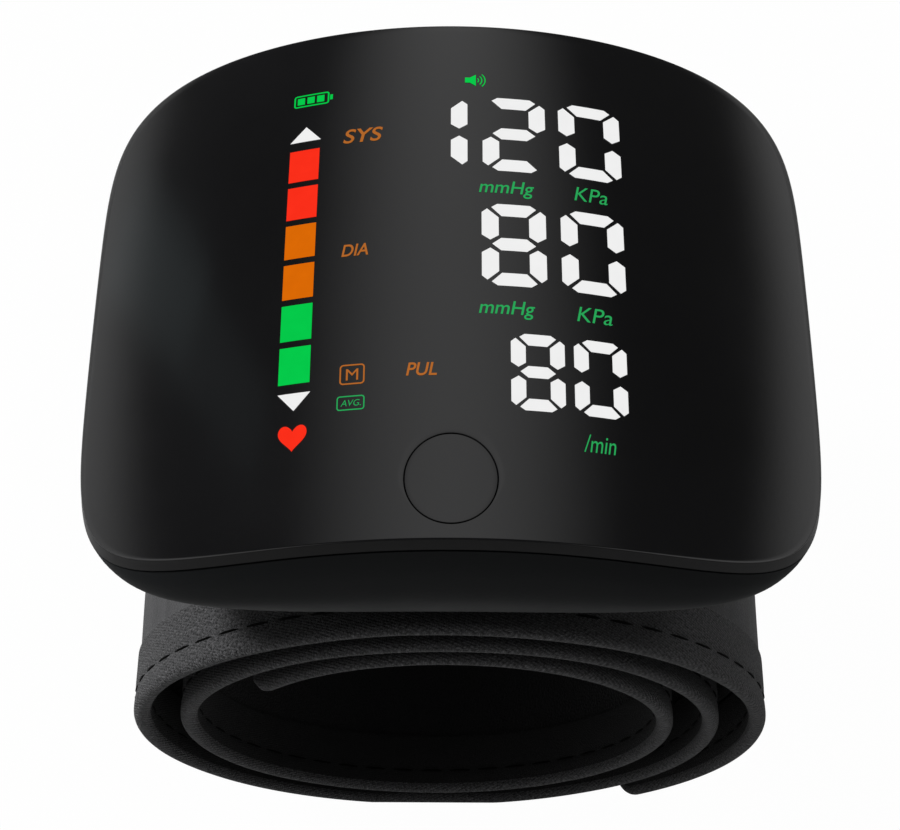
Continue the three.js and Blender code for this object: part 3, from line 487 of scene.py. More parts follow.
for polygon in face_panel.data.polygons:
    from_button = math.hypot(polygon.center.x / MM, polygon.center.y / MM - BUTTON_Y)
    if abs(polygon.normal.z) < STEEP_SIDE and from_button > BUTTON_HOLE_RADIUS + HOLE_MARGIN:
        polygon.material_index = 1
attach(face_panel, "monitor")
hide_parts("face_panel")


# Lit display: bar column, figures, labels and signs that shine through the face panel.
# Light blocks behind a printed mask; each shape is laid on the curved face as a thin film.
FILM_LIFT = 0.035
# How a stroke of a figure ends: gap, lean of its tip, set-back of its outer and inner edge
CORNER_LEVEL = (0.11, 0.214, 0.41, 0.71)
CORNER_UPRIGHT = (-0.12, 0.18, 0.27, 0.6)
MIDDLE_LEVEL = (0.18, 0.0, 0.62, 0.62)
MIDDLE_UPRIGHT = (0.44, 0.0, 0.33, 0.33)
UPRIGHT_THICKNESS, LEVEL_THICKNESS = 1.6, 1.36
SEGMENTS = {"0": "abcdef", "1": "bc", "2": "abdeg", "8": "abcdefg"}
# Figures: digit, x and y of its middle, width, height
FIGURES = (("1", -1.59, 13.97, 6.12, 8.95), ("2", 5.99, 13.95, 6.12, 8.95), ("0", 13.43, 14.03, 6.12, 8.95),
           ("8", 5.83, 1.11, 6.08, 8.96), ("0", 13.33, 1.11, 6.08, 8.96),
           ("8", 7.86, -12.06, 4.94, 7.59), ("0", 13.66, -12.06, 4.94, 7.59))
FULL_FIGURE_HEIGHT = 8.95
BAR_LEFT, BAR_WIDTH, BAR_HEIGHT, BAR_PITCH, BAR_TOP = -15.85, 2.94, 3.75, 4.406, 13.24
BAR_COLOURS = ("red", "red", "orange", "orange", "green", "green")
ARROW_UP = [(-14.35, 16.1), (-15.9, 14.3), (-12.83, 14.3)]
ARROW_DOWN = [(-14.3, -15.22), (-12.8, -13.47), (-15.86, -13.47)]
HEART_X, HEART_Y, HEART_HALF_WIDTH, HEART_HALF_HEIGHT = -14.33, -17.68, 1.33, 1.31
HEART_POINTEDNESS = 2.4
HEART_STEPS = 48
SOUND_HORN = [(1.24, 20.27), (1.24, 20.93), (1.72, 20.93), (2.31, 21.33), (2.31, 19.87), (1.72, 20.27)]
SOUND_X, SOUND_Y, SOUND_STRETCH, SOUND_SPREAD = 2.28, 20.6, 1.1, 48
SOUND_REACHES = (0.3, 0.62, 0.94)
SOUND_HALF_LINE = 0.055
SOUND_STEPS = 10
# Line frames and boxes: left, right, bottom, top, and for a frame its corner radius and line width
MEMORY_FRAME = (-10.15, -7.85, -13.2, -11.2, 0.35, 0.14)
AVERAGE_FRAME = (-10.35, -7.8, -15.72, -14.3, 0.3, 0.12)
BATTERY_FRAME = (-15.75, -12.2, 18.75, 20.3, 0.3, 0.16)
BATTERY_TIP = (-12.12, -11.85, 19.2, 19.85)
BATTERY_CELL = (-15.4, -14.66, 19.1, 19.95)
BATTERY_CELLS, BATTERY_CELL_PITCH = 3, 0.98
LABEL_BOLDNESS = {"SYS": 0.013, "DIA": 0.013, "PUL": 0.013, "mmHg": 0.008}
LABEL_SLANT = 0.2
# Where a film is cut so that it follows the face: direction, reach, spacing
FILM_CUTS = ((Vector((1, 0, 0)), 18, 0.8), (Vector((0, 1, 0)), 24, 2.5))
FILM_CUT_SHIFT = 0.013
FILM_BLACK = (0.0004, 0.0004, 0.0004, 1)
films = {"white": [], "red": [], "orange": [], "green": [], "orange_label": [], "green_label": []}


def segment(start, end, thick, outer, start_cut, end_cut):
    """One six-sided stroke; a cut is its gap, the tip's lean to the outer side and how far each edge is set back."""
    start, end = Vector(start), Vector(end)
    along = (end - start).normalized()
    side = Vector((-along.y, along.x)) * thick * outer
    ends = []
    for place, way, (gap, lean, outer_back, inner_back) in ((start, along, start_cut), (end, -along, end_cut)):
        tip = place + way * gap + side * lean
        outer_corner = tip + way * outer_back * thick + side * (0.5 - lean)
        inner_corner = tip + way * inner_back * thick - side * (0.5 + lean)
        ends.append((outer_corner, tip, inner_corner))
    return [tuple(p) for p in (*ends[0], *ends[1][::-1])]


def figure(digit, x, y, width, height, share):
    upright, level = UPRIGHT_THICKNESS * share, LEVEL_THICKNESS * share
    w, h = width / 2 - upright / 2, height / 2 - level / 2
    strokes = {
        "a": ((x - w, y + h), (x + w, y + h), level, 1, CORNER_LEVEL, CORNER_LEVEL),
        "g": ((x - w, y), (x + w, y), level, 1, MIDDLE_LEVEL, MIDDLE_LEVEL),
        "d": ((x - w, y - h), (x + w, y - h), level, -1, CORNER_LEVEL, CORNER_LEVEL),
        "b": ((x + w, y + h), (x + w, y), upright, 1, CORNER_UPRIGHT, MIDDLE_UPRIGHT),
        "f": ((x - w, y + h), (x - w, y), upright, -1, CORNER_UPRIGHT, MIDDLE_UPRIGHT),
        "c": ((x + w, y), (x + w, y - h), upright, 1, MIDDLE_UPRIGHT, CORNER_UPRIGHT),
        "e": ((x - w, y), (x - w, y - h), upright, -1, MIDDLE_UPRIGHT, CORNER_UPRIGHT)}
    return [segment(*strokes[name]) for name in SEGMENTS[digit]]


def film_box(left, right, bottom, top):
    return [(left, bottom), (right, bottom), (right, top), (left, top)]


def sound_arc(reach, turns):
    return [(SOUND_X + reach * math.cos(t), SOUND_Y + reach * SOUND_STRETCH * math.sin(t)) for t in turns]


def heart_point(t):
    """A point of the common heart curve, with fuller sides."""
    across, wave = math.sin(t), 13 * math.cos(t) - 5 * math.cos(2 * t) - 2 * math.cos(3 * t) - math.cos(4 * t)
    return (HEART_X + HEART_HALF_WIDTH * math.copysign(abs(across) ** HEART_POINTEDNESS, across),
            HEART_Y + HEART_HALF_HEIGHT * wave / 15)


for digit, x, y, width, height in FIGURES:
    films["white"] += figure(digit, x, y, width, height, height / FULL_FIGURE_HEIGHT)
for k, colour in enumerate(BAR_COLOURS):
    top = BAR_TOP - k * BAR_PITCH
    films[colour].append(film_box(BAR_LEFT, BAR_LEFT + BAR_WIDTH, top - BAR_HEIGHT, top))
films["white"] += [ARROW_UP, ARROW_DOWN]
films["red"].append([heart_point(2 * math.pi * k / HEART_STEPS) for k in range(HEART_STEPS)])
films["green"].append(SOUND_HORN)
sound_turns = [math.radians(SOUND_SPREAD * (2 * k / SOUND_STEPS - 1)) for k in range(SOUND_STEPS + 1)]
for reach in SOUND_REACHES:
    films["green"].append(sound_arc(reach - SOUND_HALF_LINE, sound_turns)
                          + sound_arc(reach + SOUND_HALF_LINE, sound_turns[::-1]))


def frame_strokes(x0, x1, y0, y1, radius, line):
    """A rounded box drawn as a line, in short four-sided lengths."""
    cx, cy = (x0 + x1) / 2, (y0 + y1) / 2
    outer = rounded_slot(x1 - x0, y1 - y0, radius)
    inner = rounded_slot(x1 - x0 - 2 * line, y1 - y0 - 2 * line, radius - line)
    quads = []
    for k in range(len(outer)):
        n = (k + 1) % len(outer)
        quads.append([(cx + p[0], cy + p[1]) for p in (outer[k], outer[n], inner[n], inner[k])])
    return quads


films["orange_label"] += frame_strokes(*MEMORY_FRAME)
films["green_label"] += frame_strokes(*AVERAGE_FRAME)
films["green"] += frame_strokes(*BATTERY_FRAME)
films["green"].append(film_box(*BATTERY_TIP))
for k in range(BATTERY_CELLS):
    left, right, bottom, top = BATTERY_CELL
    films["green"].append(film_box(left + BATTERY_CELL_PITCH * k, right + BATTERY_CELL_PITCH * k, bottom, top))


def add_label(film, words, x0, x1, y0, y1, slant):
    curve = bpy.data.curves.new("label", "FONT")
    curve.body, curve.shear, curve.offset = words, slant, LABEL_BOLDNESS.get(words, 0.0)
    writing = bpy.data.objects.new("label", curve)
    bpy.context.collection.objects.link(writing)
    flat = bpy.data.meshes.new_from_object(writing.evaluated_get(bpy.context.evaluated_depsgraph_get()))
    xs, ys = [v.co.x for v in flat.vertices], [v.co.y for v in flat.vertices]
    for v in flat.vertices:
        v.co.x = x0 + (v.co.x - min(xs)) / (max(xs) - min(xs)) * (x1 - x0)
        v.co.y = y0 + (v.co.y - min(ys)) / (max(ys) - min(ys)) * (y1 - y0)
        v.co.z = 0
    film.from_mesh(flat)
    bpy.data.objects.remove(writing)
    bpy.data.curves.remove(curve)
    bpy.data.meshes.remove(flat)


# Labels: words, left, right, bottom, top
labels = {
    "orange_label": (("SYS", -10.6, -6.75, 13.3, 15.0), ("DIA", -10.35, -7.82, 0.17, 1.47),
                     ("PUL", -4.1, -1.3, -12.67, -11.37), ("M", -9.56, -8.44, -12.78, -11.66)),
    "green_label": (("mmHg", 2.55, 7.82, 6.4, 8.3), ("KPa", 11.7, 14.95, 6.87, 8.47),
                    ("mmHg", 2.5, 7.68, -6.8, -4.95), ("KPa", 11.58, 14.92, -6.42, -4.87),
                    ("/min", 11.9, 14.85, -19.33, -17.63), ("AVG.", -9.98, -8.13, -15.32, -14.7))}
film_colours = {
    "white": ((0.845, 0.845, 0.845, 1), (0.885, 0.885, 0.885, 1)),
    "red": ((0.92, 0.024, 0.008, 1), (1.0, 0.03, 0.011, 1)),
    "orange": ((0.66, 0.13, 0.0008, 1), (0.74, 0.148, 0.001, 1)),
    "green": ((0.0006, 0.55, 0.062, 1), (0.0008, 0.62, 0.072, 1)),
    "orange_label": ((0.42, 0.128, 0.02, 1), (0.46, 0.14, 0.025, 1)),
    "green_label": ((0.02, 0.36, 0.092, 1), (0.024, 0.39, 0.102, 1))}
for colour, shapes in films.items():
    film = bmesh.new()
    for words, x0, x1, y0, y1 in labels.get(colour, ()):
        add_label(film, words, x0, x1, y0, y1, slant=0.0 if words == "M" else LABEL_SLANT)
    for shape in shapes:
        film.faces.new([film.verts.new((x, y, 0)) for x, y in shape])
    bmesh.ops.remove_doubles(film, verts=film.verts, dist=1e-5)
    for normal, span, step in FILM_CUTS:
        for k in range(-int(span / step), int(span / step) + 1):
            bmesh.ops.bisect_plane(film, geom=film.verts[:] + film.edges[:] + film.faces[:], dist=1e-6,
                                   plane_co=normal * (k * step + FILM_CUT_SHIFT), plane_no=normal)
    for v in film.verts:
        v.co = Vector((v.co.x, v.co.y, face_height(v.co.x, v.co.y) + FILM_LIFT)) * MM
    for face in film.faces:
        if face.normal.z < 0:
            face.normal_flip()
    lit = piece(f"display_{colour}", film, sharp_degrees=80)
    glow, tree, shader = new_material(f"{colour}_light")
    place = node(tree, "ShaderNodeTexCoord").outputs["Object"]
    shade = node(tree, "ShaderNodeTexNoise", Scale=700.0, Detail=2.0, Vector=place)
    tint = blend_colour(tree, shade.outputs["Fac"], *film_colours[colour])
    tree.links.new(tint, shader.inputs["Emission Color"])
    shader.inputs["Emission Strength"].default_value = 1.0
    shader.inputs["Base Color"].default_value = FILM_BLACK
    shader.inputs["Roughness"].default_value = 0.25
    shader.inputs["Specular IOR Level"].default_value = 0.01
    lit.data.materials.append(glow)
    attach(lit, "monitor")


# Start button: a round cap level with the face, which is pressed to begin a reading.
# Moulded in the same smoke-black plastic as the panel, with a fine gap round it and a stem below.
BUTTON_RADIUS = 4.11
BUTTON_EDGE_ROUND = 0.04
BUTTON_STEM_DEPTH = 3.6
BUTTON_STEM_END = BUTTON_STEM_DEPTH + 0.1
# Rings under the cap, down to the end of the stem: radius, drop
BUTTON_UNDERSIDE = ((BUTTON_RADIUS, 1.6), (BUTTON_RADIUS - 0.1, 1.7), (2.0, 1.75), (1.5, BUTTON_STEM_DEPTH),
                    (0.5, BUTTON_STEM_END))
BUTTON_SPOKES = 120
BUTTON_TOP_RINGS, BUTTON_EDGE_STEPS = 10, 5


def button_ring(radius, drop):
    ring = []
    for k in range(BUTTON_SPOKES):
        x = radius * math.cos(2 * math.pi * k / BUTTON_SPOKES)
        y = BUTTON_Y + radius * math.sin(2 * math.pi * k / BUTTON_SPOKES)
        ring.append((x, y, face_height(x, y) - drop))
    return ring


button_rings = [button_ring(BUTTON_RADIUS * k / BUTTON_TOP_RINGS, 0) for k in range(1, BUTTON_TOP_RINGS)]
for k in range(BUTTON_EDGE_STEPS + 1):
    turn = math.pi / 2 * k / BUTTON_EDGE_STEPS
    button_rings.append(button_ring(BUTTON_RADIUS - BUTTON_EDGE_ROUND * (1 - math.sin(turn)),
                                    BUTTON_EDGE_ROUND * (1 - math.cos(turn))))
button_rings += [button_ring(radius, drop) for radius, drop in BUTTON_UNDERSIDE]
button_top = face_height(0, BUTTON_Y)
start_button = piece("start_button_cap", skin(button_rings, first=(0, BUTTON_Y, button_top),
                                              last=(0, BUTTON_Y, button_top - BUTTON_STEM_END)),
                     sharp_degrees=60)
start_button.data.materials.append(moulded_material(
    "button_gloss", PANEL_BLACK, PANEL_BLACK_SOFT, 0.14, 0.2, grain=1800.0, cloud=120.0, bump=0.02))
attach(start_button, "button")
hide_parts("start_button")


# Cuff: one long padded band, rolled up on itself below the case, with a free flap end at the right.
# Dark woven cloth on the outside, soft pile inside, and a twill binding folded over every edge and
# held by one row of black stitches; two screws through the band hold it to the case.
ROLL_START_RADIUS = 36.8
ROLL_PITCH = 5.2
ROLL_SQUASH = 0.981
ROLL_OFFSET_X = -1.2
REST_FLAT_DEPTH = 1.0
LOWEST_TURN = 0.75
ROLL_CENTRE_Z = ROLL_SQUASH * (ROLL_START_RADIUS - LOWEST_TURN * ROLL_PITCH) - REST_FLAT_DEPTH
BAND_THICKNESS = 1.9
BAND_HALF_WIDTH = 29.8
BINDING_WIDTH = 7.0
BINDING_STEP = 0.26
EDGE_ROUND = 0.95
STITCH_FROM_EDGE = 2.6
STITCH_LENGTH = 3.0
STITCH_PITCH = 3.7
THREAD_RADIUS = 0.13
TIP_CORNER_RADIUS = 2.6
FLAP_TIP, CASE_MIDDLE, WRAP_BEND, WRAP_TIP = -51.0, 90.0, 215.0, 866.0
EDGE_STATIONS = (0.0, 0.04, 0.14, 0.3, 0.5, 0.72, 0.95, 1.4, 1.9, 2.15, 2.4, 2.6, 2.8, 3.05, 3.3, 3.8, 4.4, 5.2,
                 6.1, 6.75, 6.95, 7.1, 7.35, 8.2, 9.6)
UV_SCALE = 0.01
BAND_MIDDLE = BAND_THICKNESS / 2
LIFT_START, LIFT_PER_TURN = 300, 0.8
CENTRE_COLUMNS, CENTRE_MARGIN = 12, 1.2
RIM_WANDER, RIM_WANDER_LENGTH = 0.18, 23
RIPPLE_DEPTH, RIPPLE_LENGTH, RIPPLE_WIDTH = 0.1, 13, 11
RIPPLE_START, RIPPLE_FULL, RIPPLE_OUTWARD = 0.5, 6, 0.02
RIM_NOISE_PLACE, RIPPLE_NOISE_PLACE = 3.1, 0.4
# The cloth's relief by distance from its edge: the binding's step and raised edge, the groove under the stitches,
# and the swell of the padding, which is full at a share of the half width
STEP_START, STEP_END = 6.9, 7.15
RIDGE_HEIGHT, RIDGE_FROM_EDGE, RIDGE_WIDTH = 0.05, 6.6, 0.35
GROOVE_DEPTH, GROOVE_WIDTH = 0.13, 0.5
PADDING_SWELL, PADDING_START, PADDING_FULL = 0.16, 7.3, 0.8
MEASURE_STEP = 0.5
# Strides along the band near a free tip: distance from the tip, stride
TIP_STRIDES = ((0.6, 0.12), (8.5, 0.3))
PLAIN_STRIDE = 1.0
NO_TIP = 99.0
STITCH_TIP_MARGIN = 4.6
CROSS_STITCH_MARGIN = 5
LINING_UV_SHIFT = 80
THREAD_SINK, THREAD_DIP, THREAD_SIDES = 0.06, 0.16, 6
# Material slots of the band; the last is the binding's darkened copy, painted shade inside the roll.
CLOTH, BINDING, LINING, THREAD, BINDING_PAINTED_SHADE = range(5)


def roll_point(angle, depth, y):
    """A point of the roll: its angle along the spiral, its depth below the band's outer skin, its place across."""
    turn = math.radians(angle)
    radius = ROLL_START_RADIUS - ROLL_PITCH * angle / 360
    lift = LIFT_PER_TURN * max(0.0, angle - LIFT_START) / 360
    outer_z = ROLL_CENTRE_Z + ROLL_SQUASH * radius * math.sin(turn) + lift
    return Vector((ROLL_OFFSET_X + (radius - depth) * math.cos(turn), y,
                   ROLL_CENTRE_Z + ROLL_SQUASH * (radius - depth) * math.sin(turn) + lift + max(0.0, -outer_z)))


def soft_step(value, low, high):
    t = min(1.0, max(0.0, (value - low) / (high - low)))
    return t * t * (3 - 2 * t)


def cloth_relief(edge, half):
    """How deep the cloth face lies below the band's outer skin, from its distance to the nearest edge."""
    drop = BINDING_STEP * soft_step(edge, STEP_START, STEP_END)
    drop -= RIDGE_HEIGHT * math.exp(-((edge - RIDGE_FROM_EDGE) / RIDGE_WIDTH) ** 2)
    drop += GROOVE_DEPTH * math.exp(-((edge - STITCH_FROM_EDGE) / GROOVE_WIDTH) ** 2)
    if edge > STEP_END:
        drop -= PADDING_SWELL * soft_step(edge, PADDING_START, half * PADDING_FULL)
    return max(drop, 0.0)


def band_angles(start, end, tips):
    """Angles along the roll about a millimetre apart, closer together near a free tip."""
    angles, travelled, angle = [start], [0.0], start
    total = sum((ROLL_START_RADIUS - ROLL_PITCH * (start + MEASURE_STEP * k) / 360) * math.radians(MEASURE_STEP)
                for k in range(int((end - start) / MEASURE_STEP)))
    while angle < end:
        from_tip = min(travelled[-1] if tips[0] else NO_TIP, total - travelled[-1] if tips[1] else NO_TIP)
        stride = next((length for near, length in TIP_STRIDES if from_tip < near), PLAIN_STRIDE)
        angle = min(end, angle + math.degrees(stride / (ROLL_START_RADIUS - ROLL_PITCH * angle / 360)))
        step = roll_point(angle, BAND_MIDDLE, 0) - roll_point(angles[-1], BAND_MIDDLE, 0)
        travelled.append(travelled[-1] + step.length)
        angles.append(angle)
    return angles, travelled


def angle_at(angles, travelled, run):
    for k in range(len(angles) - 1):
        if travelled[k + 1] >= run:
            share = (run - travelled[k]) / (travelled[k + 1] - travelled[k])
            return angles[k] + (angles[k + 1] - angles[k]) * share
    return angles[-1]


# Rings of a stitch: share of its length, share of the thread's radius
STITCH_RINGS = ((0.0, 0.02), (0.08, 0.7), (0.3, 1.0), (0.7, 1.0), (0.92, 0.7), (1.0, 0.02))


def add_thread(mesh, points, across, up):
    """A short length of thread: a rounded rod along the points, with its ends tucked in."""
    rings = []
    for (share, size), point in zip(STITCH_RINGS, points):
        dip = up * (-THREAD_DIP * (2 * share - 1) ** 2)
        ring = []
        for k in range(THREAD_SIDES):
            a = 2 * math.pi * k / THREAD_SIDES
            round_off = (across * math.cos(a) + up * math.sin(a)) * THREAD_RADIUS * size
            ring.append(mesh.verts.new((point + dip + round_off) * MM))
        rings.append(ring)
    for low, high in zip(rings, rings[1:]):
        join_rings(mesh, low, high, THREAD)


def thread_depth(side):
    return THREAD_SINK if side == 0 else BAND_THICKNESS - THREAD_SINK


def thread_up(angle, y, side):
    outward = roll_point(angle, -1, y) - roll_point(angle, 0, y)
    return outward.normalized() * (1 if side == 0 else -1)


def add_stitch(mesh, angles, travelled, run, y, side):
    points = [roll_point(angle_at(angles, travelled, run + STITCH_LENGTH * share), thread_depth(side), y)
              for share, _ in STITCH_RINGS]
    add_thread(mesh, points, Vector((0, 1, 0)), thread_up(angle_at(angles, travelled, run), y, side))


def add_cross_stitch(mesh, angle, y, side):
    points = [roll_point(angle, thread_depth(side), y + STITCH_LENGTH * (share - 0.5)) for share, _ in STITCH_RINGS]
    up = thread_up(angle, y, side)
    add_thread(mesh, points, up.cross(Vector((0, 1, 0))), up)


def sew_edges(mesh, angles, travelled, tips, offset):
    """Rows of stitches along both sides of a band and across its free tips, outside and inside."""
    total = travelled[-1]
    first = STITCH_PITCH * math.ceil((offset + (STITCH_TIP_MARGIN if tips[0] else 0)) / STITCH_PITCH) - offset
    count = int((total - (STITCH_TIP_MARGIN if tips[1] else 0) - first) / STITCH_PITCH)
    for k in range(count):
        for row_y in (-1, 1):
            for side in (0, 1):
                add_stitch(mesh, angles, travelled, first + k * STITCH_PITCH,
                           row_y * (BAND_HALF_WIDTH - STITCH_FROM_EDGE), side)
    for at_end in (0, 1):
        if tips[at_end]:
            row = STITCH_FROM_EDGE if at_end == 0 else total - STITCH_FROM_EDGE
            across = int((BAND_HALF_WIDTH - CROSS_STITCH_MARGIN) / STITCH_PITCH)
            for k in range(-across, across + 1):
                for side in (0, 1):
                    add_cross_stitch(mesh, angle_at(angles, travelled, row), k * STITCH_PITCH, side)


WOBBLE_PUSH, LINT_PUSH = 1.8, 0.8
CROSS_LEAN = 0.35
CREASES_ALONG, CREASES_ACROSS = 55.0, 3.0
WEAVE_ROUGHNESS, LINT_ROUGHNESS = 0.72, 0.2
WEAVE_DEPTH = 0.0003
SHEEN_ROUGHNESS = 0.3
woven, ins, outs = shader_group(
    "woven_cloth",
    (("Dark", COLOUR, (0.01, 0.01, 0.01, 1)), ("Light", COLOUR, (0.04, 0.04, 0.04, 1)), ("Threads", FLOAT, 200.0),
     ("Slant", FLOAT, 1.0), ("Cross", FLOAT, 0.5), ("Fuzz", FLOAT, 0.3), ("Creases", FLOAT, 0.0)),
    (("Colour", COLOUR), ("Roughness", FLOAT), ("Height", FLOAT)))
cloth_uv = node(woven, "ShaderNodeUVMap", {"uv_map": "cloth"}).outputs["UV"]
parts = node(woven, "ShaderNodeSeparateXYZ", Vector=cloth_uv)
wobble = node(woven, "ShaderNodeTexNoise", Vector=cloth_uv, Scale=60.0, Detail=3.0).outputs["Fac"]
specks = node(woven, "ShaderNodeTexNoise", Vector=cloth_uv, Scale=330.0, Detail=3.0).outputs["Fac"]
lint = node(woven, "ShaderNodeMapRange", {"interpolation_type": "SMOOTHSTEP"}, Value=specks,
            From_Min=0.3, From_Max=0.7).outputs["Result"]
along = calc(woven, "MULTIPLY", parts.outputs["X"], ins.outputs["Threads"])
over = calc(woven, "MULTIPLY", parts.outputs["Y"], ins.outputs["Threads"])
unevenness = calc(woven, "MULTIPLY_ADD", lint, LINT_PUSH, calc(woven, "MULTIPLY", wobble, WOBBLE_PUSH))
slanted = calc(woven, "ADD", calc(woven, "MULTIPLY_ADD", over, ins.outputs["Slant"], along), unevenness)


def thread_wave(value):
    return calc(woven, "MULTIPLY_ADD", calc(woven, "SINE", calc(woven, "MULTIPLY", value, 2 * math.pi)), 0.5, 0.5)


rib = thread_wave(slanted)
crossing = calc(woven, "SUBTRACT", over, calc(woven, "MULTIPLY", along, CROSS_LEAN))
thread = thread_wave(crossing)
crossed = calc(woven, "MULTIPLY_ADD", thread, ins.outputs["Cross"], calc(woven, "SUBTRACT", 1.0, ins.outputs["Cross"]))
weave = calc(woven, "MULTIPLY", rib, crossed)
fuzzed = calc(woven, "ADD", calc(woven, "MULTIPLY", lint, ins.outputs["Fuzz"]),
              calc(woven, "MULTIPLY", weave, calc(woven, "SUBTRACT", 1.0, ins.outputs["Fuzz"])))
# Creases: stretched noise that sets the relief and also the colour, lighter on the ridges and darker in the folds; the
# relief is real, the colour change is painted sheen and shade.
crease_place = node(woven, "ShaderNodeCombineXYZ", X=calc(woven, "MULTIPLY", parts.outputs["X"], CREASES_ALONG),
                    Y=calc(woven, "MULTIPLY", parts.outputs["Y"], CREASES_ACROSS))
crease = node(woven, "ShaderNodeTexNoise", Vector=crease_place.outputs["Vector"], Scale=1.0, Detail=4.0).outputs["Fac"]
surface = calc(woven, "ADD", calc(woven, "MULTIPLY", crease, ins.outputs["Creases"]),
               calc(woven, "MULTIPLY", fuzzed, calc(woven, "SUBTRACT", 1.0, ins.outputs["Creases"])))
woven.links.new(blend_colour(woven, surface, ins.outputs["Dark"], ins.outputs["Light"]), outs.inputs["Colour"])
woven.links.new(calc(woven, "MULTIPLY_ADD", lint, LINT_ROUGHNESS, WEAVE_ROUGHNESS), outs.inputs["Roughness"])
woven.links.new(surface, outs.inputs["Height"])


def woven_material(name, dark, light, threads, slant, cross, fuzz, bump, sheen, creases=0.0, shine=0.25):
    values = {"Dark": dark, "Light": light, "Threads": threads, "Slant": slant, "Cross": cross, "Fuzz": fuzz,
              "Creases": creases}
    mat, shader = grouped_material(name, woven, values, bump, WEAVE_DEPTH, shine)
    shader.inputs["Sheen Weight"].default_value = sheen
    shader.inputs["Sheen Roughness"].default_value = SHEEN_ROUGHNESS
    return mat


BINDING_DARK = (0.0012, 0.0012, 0.0013, 1)
# The outer cloth's creases also lighten and darken its colour, painted sheen and shade on the folds.
cuff_cloth = woven_material("outer_cloth", (0.02, 0.02, 0.021, 1), (0.068, 0.068, 0.07, 1),
                            320.0, 0.12, 0.25, 0.5, 0.6, 0.12, creases=0.65)
cuff_binding = woven_material("twill_binding", BINDING_DARK, (0.13, 0.13, 0.134, 1), 330.0, 1.0, 0.9, 0.5, 1.0, 0.04)
# The twill binding on the inside of the roll: the same tape, its colour darkened as painted shade for the roll's
# hollow.
binding_painted_shade = woven_material("twill_binding_painted_shade", BINDING_DARK, (0.009, 0.009, 0.0095, 1),
                               360.0, 1.0, 0.5, 0.4, 1.0, 0.02)
cuff_lining = woven_material("pile_lining", (0.002, 0.002, 0.0022, 1), (0.008, 0.008, 0.0085, 1),
                             260.0, 0.6, 0.5, 0.75, 0.8, 0.03)
cuff_thread = woven_material("stitch_thread", (0.0006, 0.0006, 0.0006, 1), (0.002, 0.002, 0.002, 1),
                             500.0, 1.0, 0.2, 0.2, 0.3, 0.0, shine=0.05)


def cuff_band(name, start, end, tips, offset):
    """One length of the band between two angles; tips say which ends are free, offset where it starts."""
    angles, travelled = band_angles(start, end, tips)
    total = travelled[-1]
    mesh = bmesh.new()
    uv_layer = mesh.loops.layers.uv.new("cloth")
    rows, marks = [], []
    centre_shares = [k / CENTRE_COLUMNS for k in range(-CENTRE_COLUMNS, CENTRE_COLUMNS + 1)]
    for angle, run in zip(angles, travelled):
        from_tip = min(run if tips[0] else NO_TIP, total - run if tips[1] else NO_TIP)
        wander = noise.noise(Vector(((run + offset) / RIM_WANDER_LENGTH, RIM_NOISE_PLACE, 0)))
        half = BAND_HALF_WIDTH + RIM_WANDER * wander
        if from_tip < TIP_CORNER_RADIUS:
            half -= TIP_CORNER_RADIUS - math.sqrt(TIP_CORNER_RADIUS ** 2 - (TIP_CORNER_RADIUS - from_tip) ** 2)
        inner = half - EDGE_STATIONS[-1] - CENTRE_MARGIN
        ys = [-(half - e) for e in EDGE_STATIONS] + [inner * s for s in centre_shares]
        ys += [half - e for e in EDGE_STATIONS[::-1]]
        outer_row, inner_row, mark = [], [], []
        for y in ys:
            edge = min(half - abs(y), from_tip)
            swell = math.sqrt(max(0.0, 1 - (1 - min(edge, EDGE_ROUND) / EDGE_ROUND) ** 2))
            wave = noise.noise(Vector(((run + offset) / RIPPLE_LENGTH, y / RIPPLE_WIDTH, RIPPLE_NOISE_PLACE)))
            ripple = RIPPLE_DEPTH * wave * soft_step(edge, RIPPLE_START, RIPPLE_FULL)
            reach = (BAND_MIDDLE - cloth_relief(edge, half)) * swell
            outer_ripple = max(ripple, -RIPPLE_OUTWARD)
            outer_row.append(mesh.verts.new(roll_point(angle, BAND_MIDDLE - reach + outer_ripple, y) * MM))
            inner_row.append(mesh.verts.new(roll_point(angle, BAND_MIDDLE + reach + ripple, y) * MM))
            mark.append((y, edge))
        rows.append((outer_row, inner_row))
        marks.append(mark)
    for k in range(len(rows) - 1):
        for side in (0, 1):
            low, high = rows[k][side], rows[k + 1][side]
            for i in range(len(low) - 1):
                corners = [(low[i], k, i), (low[i + 1], k, i + 1),
                           (high[i + 1], k + 1, i + 1), (high[i], k + 1, i)]
                corners = corners[::-1] if side == 0 else corners
                face = mesh.faces.new([c[0] for c in corners])
                edge = sum(marks[c[1]][c[2]][1] for c in corners) / 4
                if edge > BINDING_WIDTH:
                    face.material_index = (CLOTH, LINING)[side]
                else:
                    # Binding faces on the inside of the roll take the darkened copy, painted shade.
                    face.material_index = BINDING if side == 0 or edge < EDGE_ROUND else BINDING_PAINTED_SHADE
                for loop, (_, row, column) in zip(face.loops, corners):
                    loop[uv_layer].uv = ((travelled[row] + offset) * UV_SCALE,
                                         (marks[row][column][0] + LINING_UV_SHIFT * side) * UV_SCALE)
    bmesh.ops.remove_doubles(mesh, verts=mesh.verts, dist=1e-7)
    sew_edges(mesh, angles, travelled, tips, offset)
    band = piece(name, mesh, sharp_degrees=75)
    for cloth in (cuff_cloth, cuff_binding, cuff_lining, cuff_thread, binding_painted_shade):
        band.data.materials.append(cloth)
    return band, total


flap_band, flap_length = cuff_band("cuff_flap_cloth", FLAP_TIP, CASE_MIDDLE, (True, False), 0.0)
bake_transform(flap_band)
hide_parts("cuff_flap")
root_band, root_length = cuff_band("cuff_root_cloth", CASE_MIDDLE, WRAP_BEND, (False, False), flap_length)
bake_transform(root_band)
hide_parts("cuff_root")
wrap_band, _ = cuff_band("cuff_wrap_cloth", WRAP_BEND, WRAP_TIP, (False, True), flap_length + root_length)
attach(wrap_band, "wrap")
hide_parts("cuff_wrap")


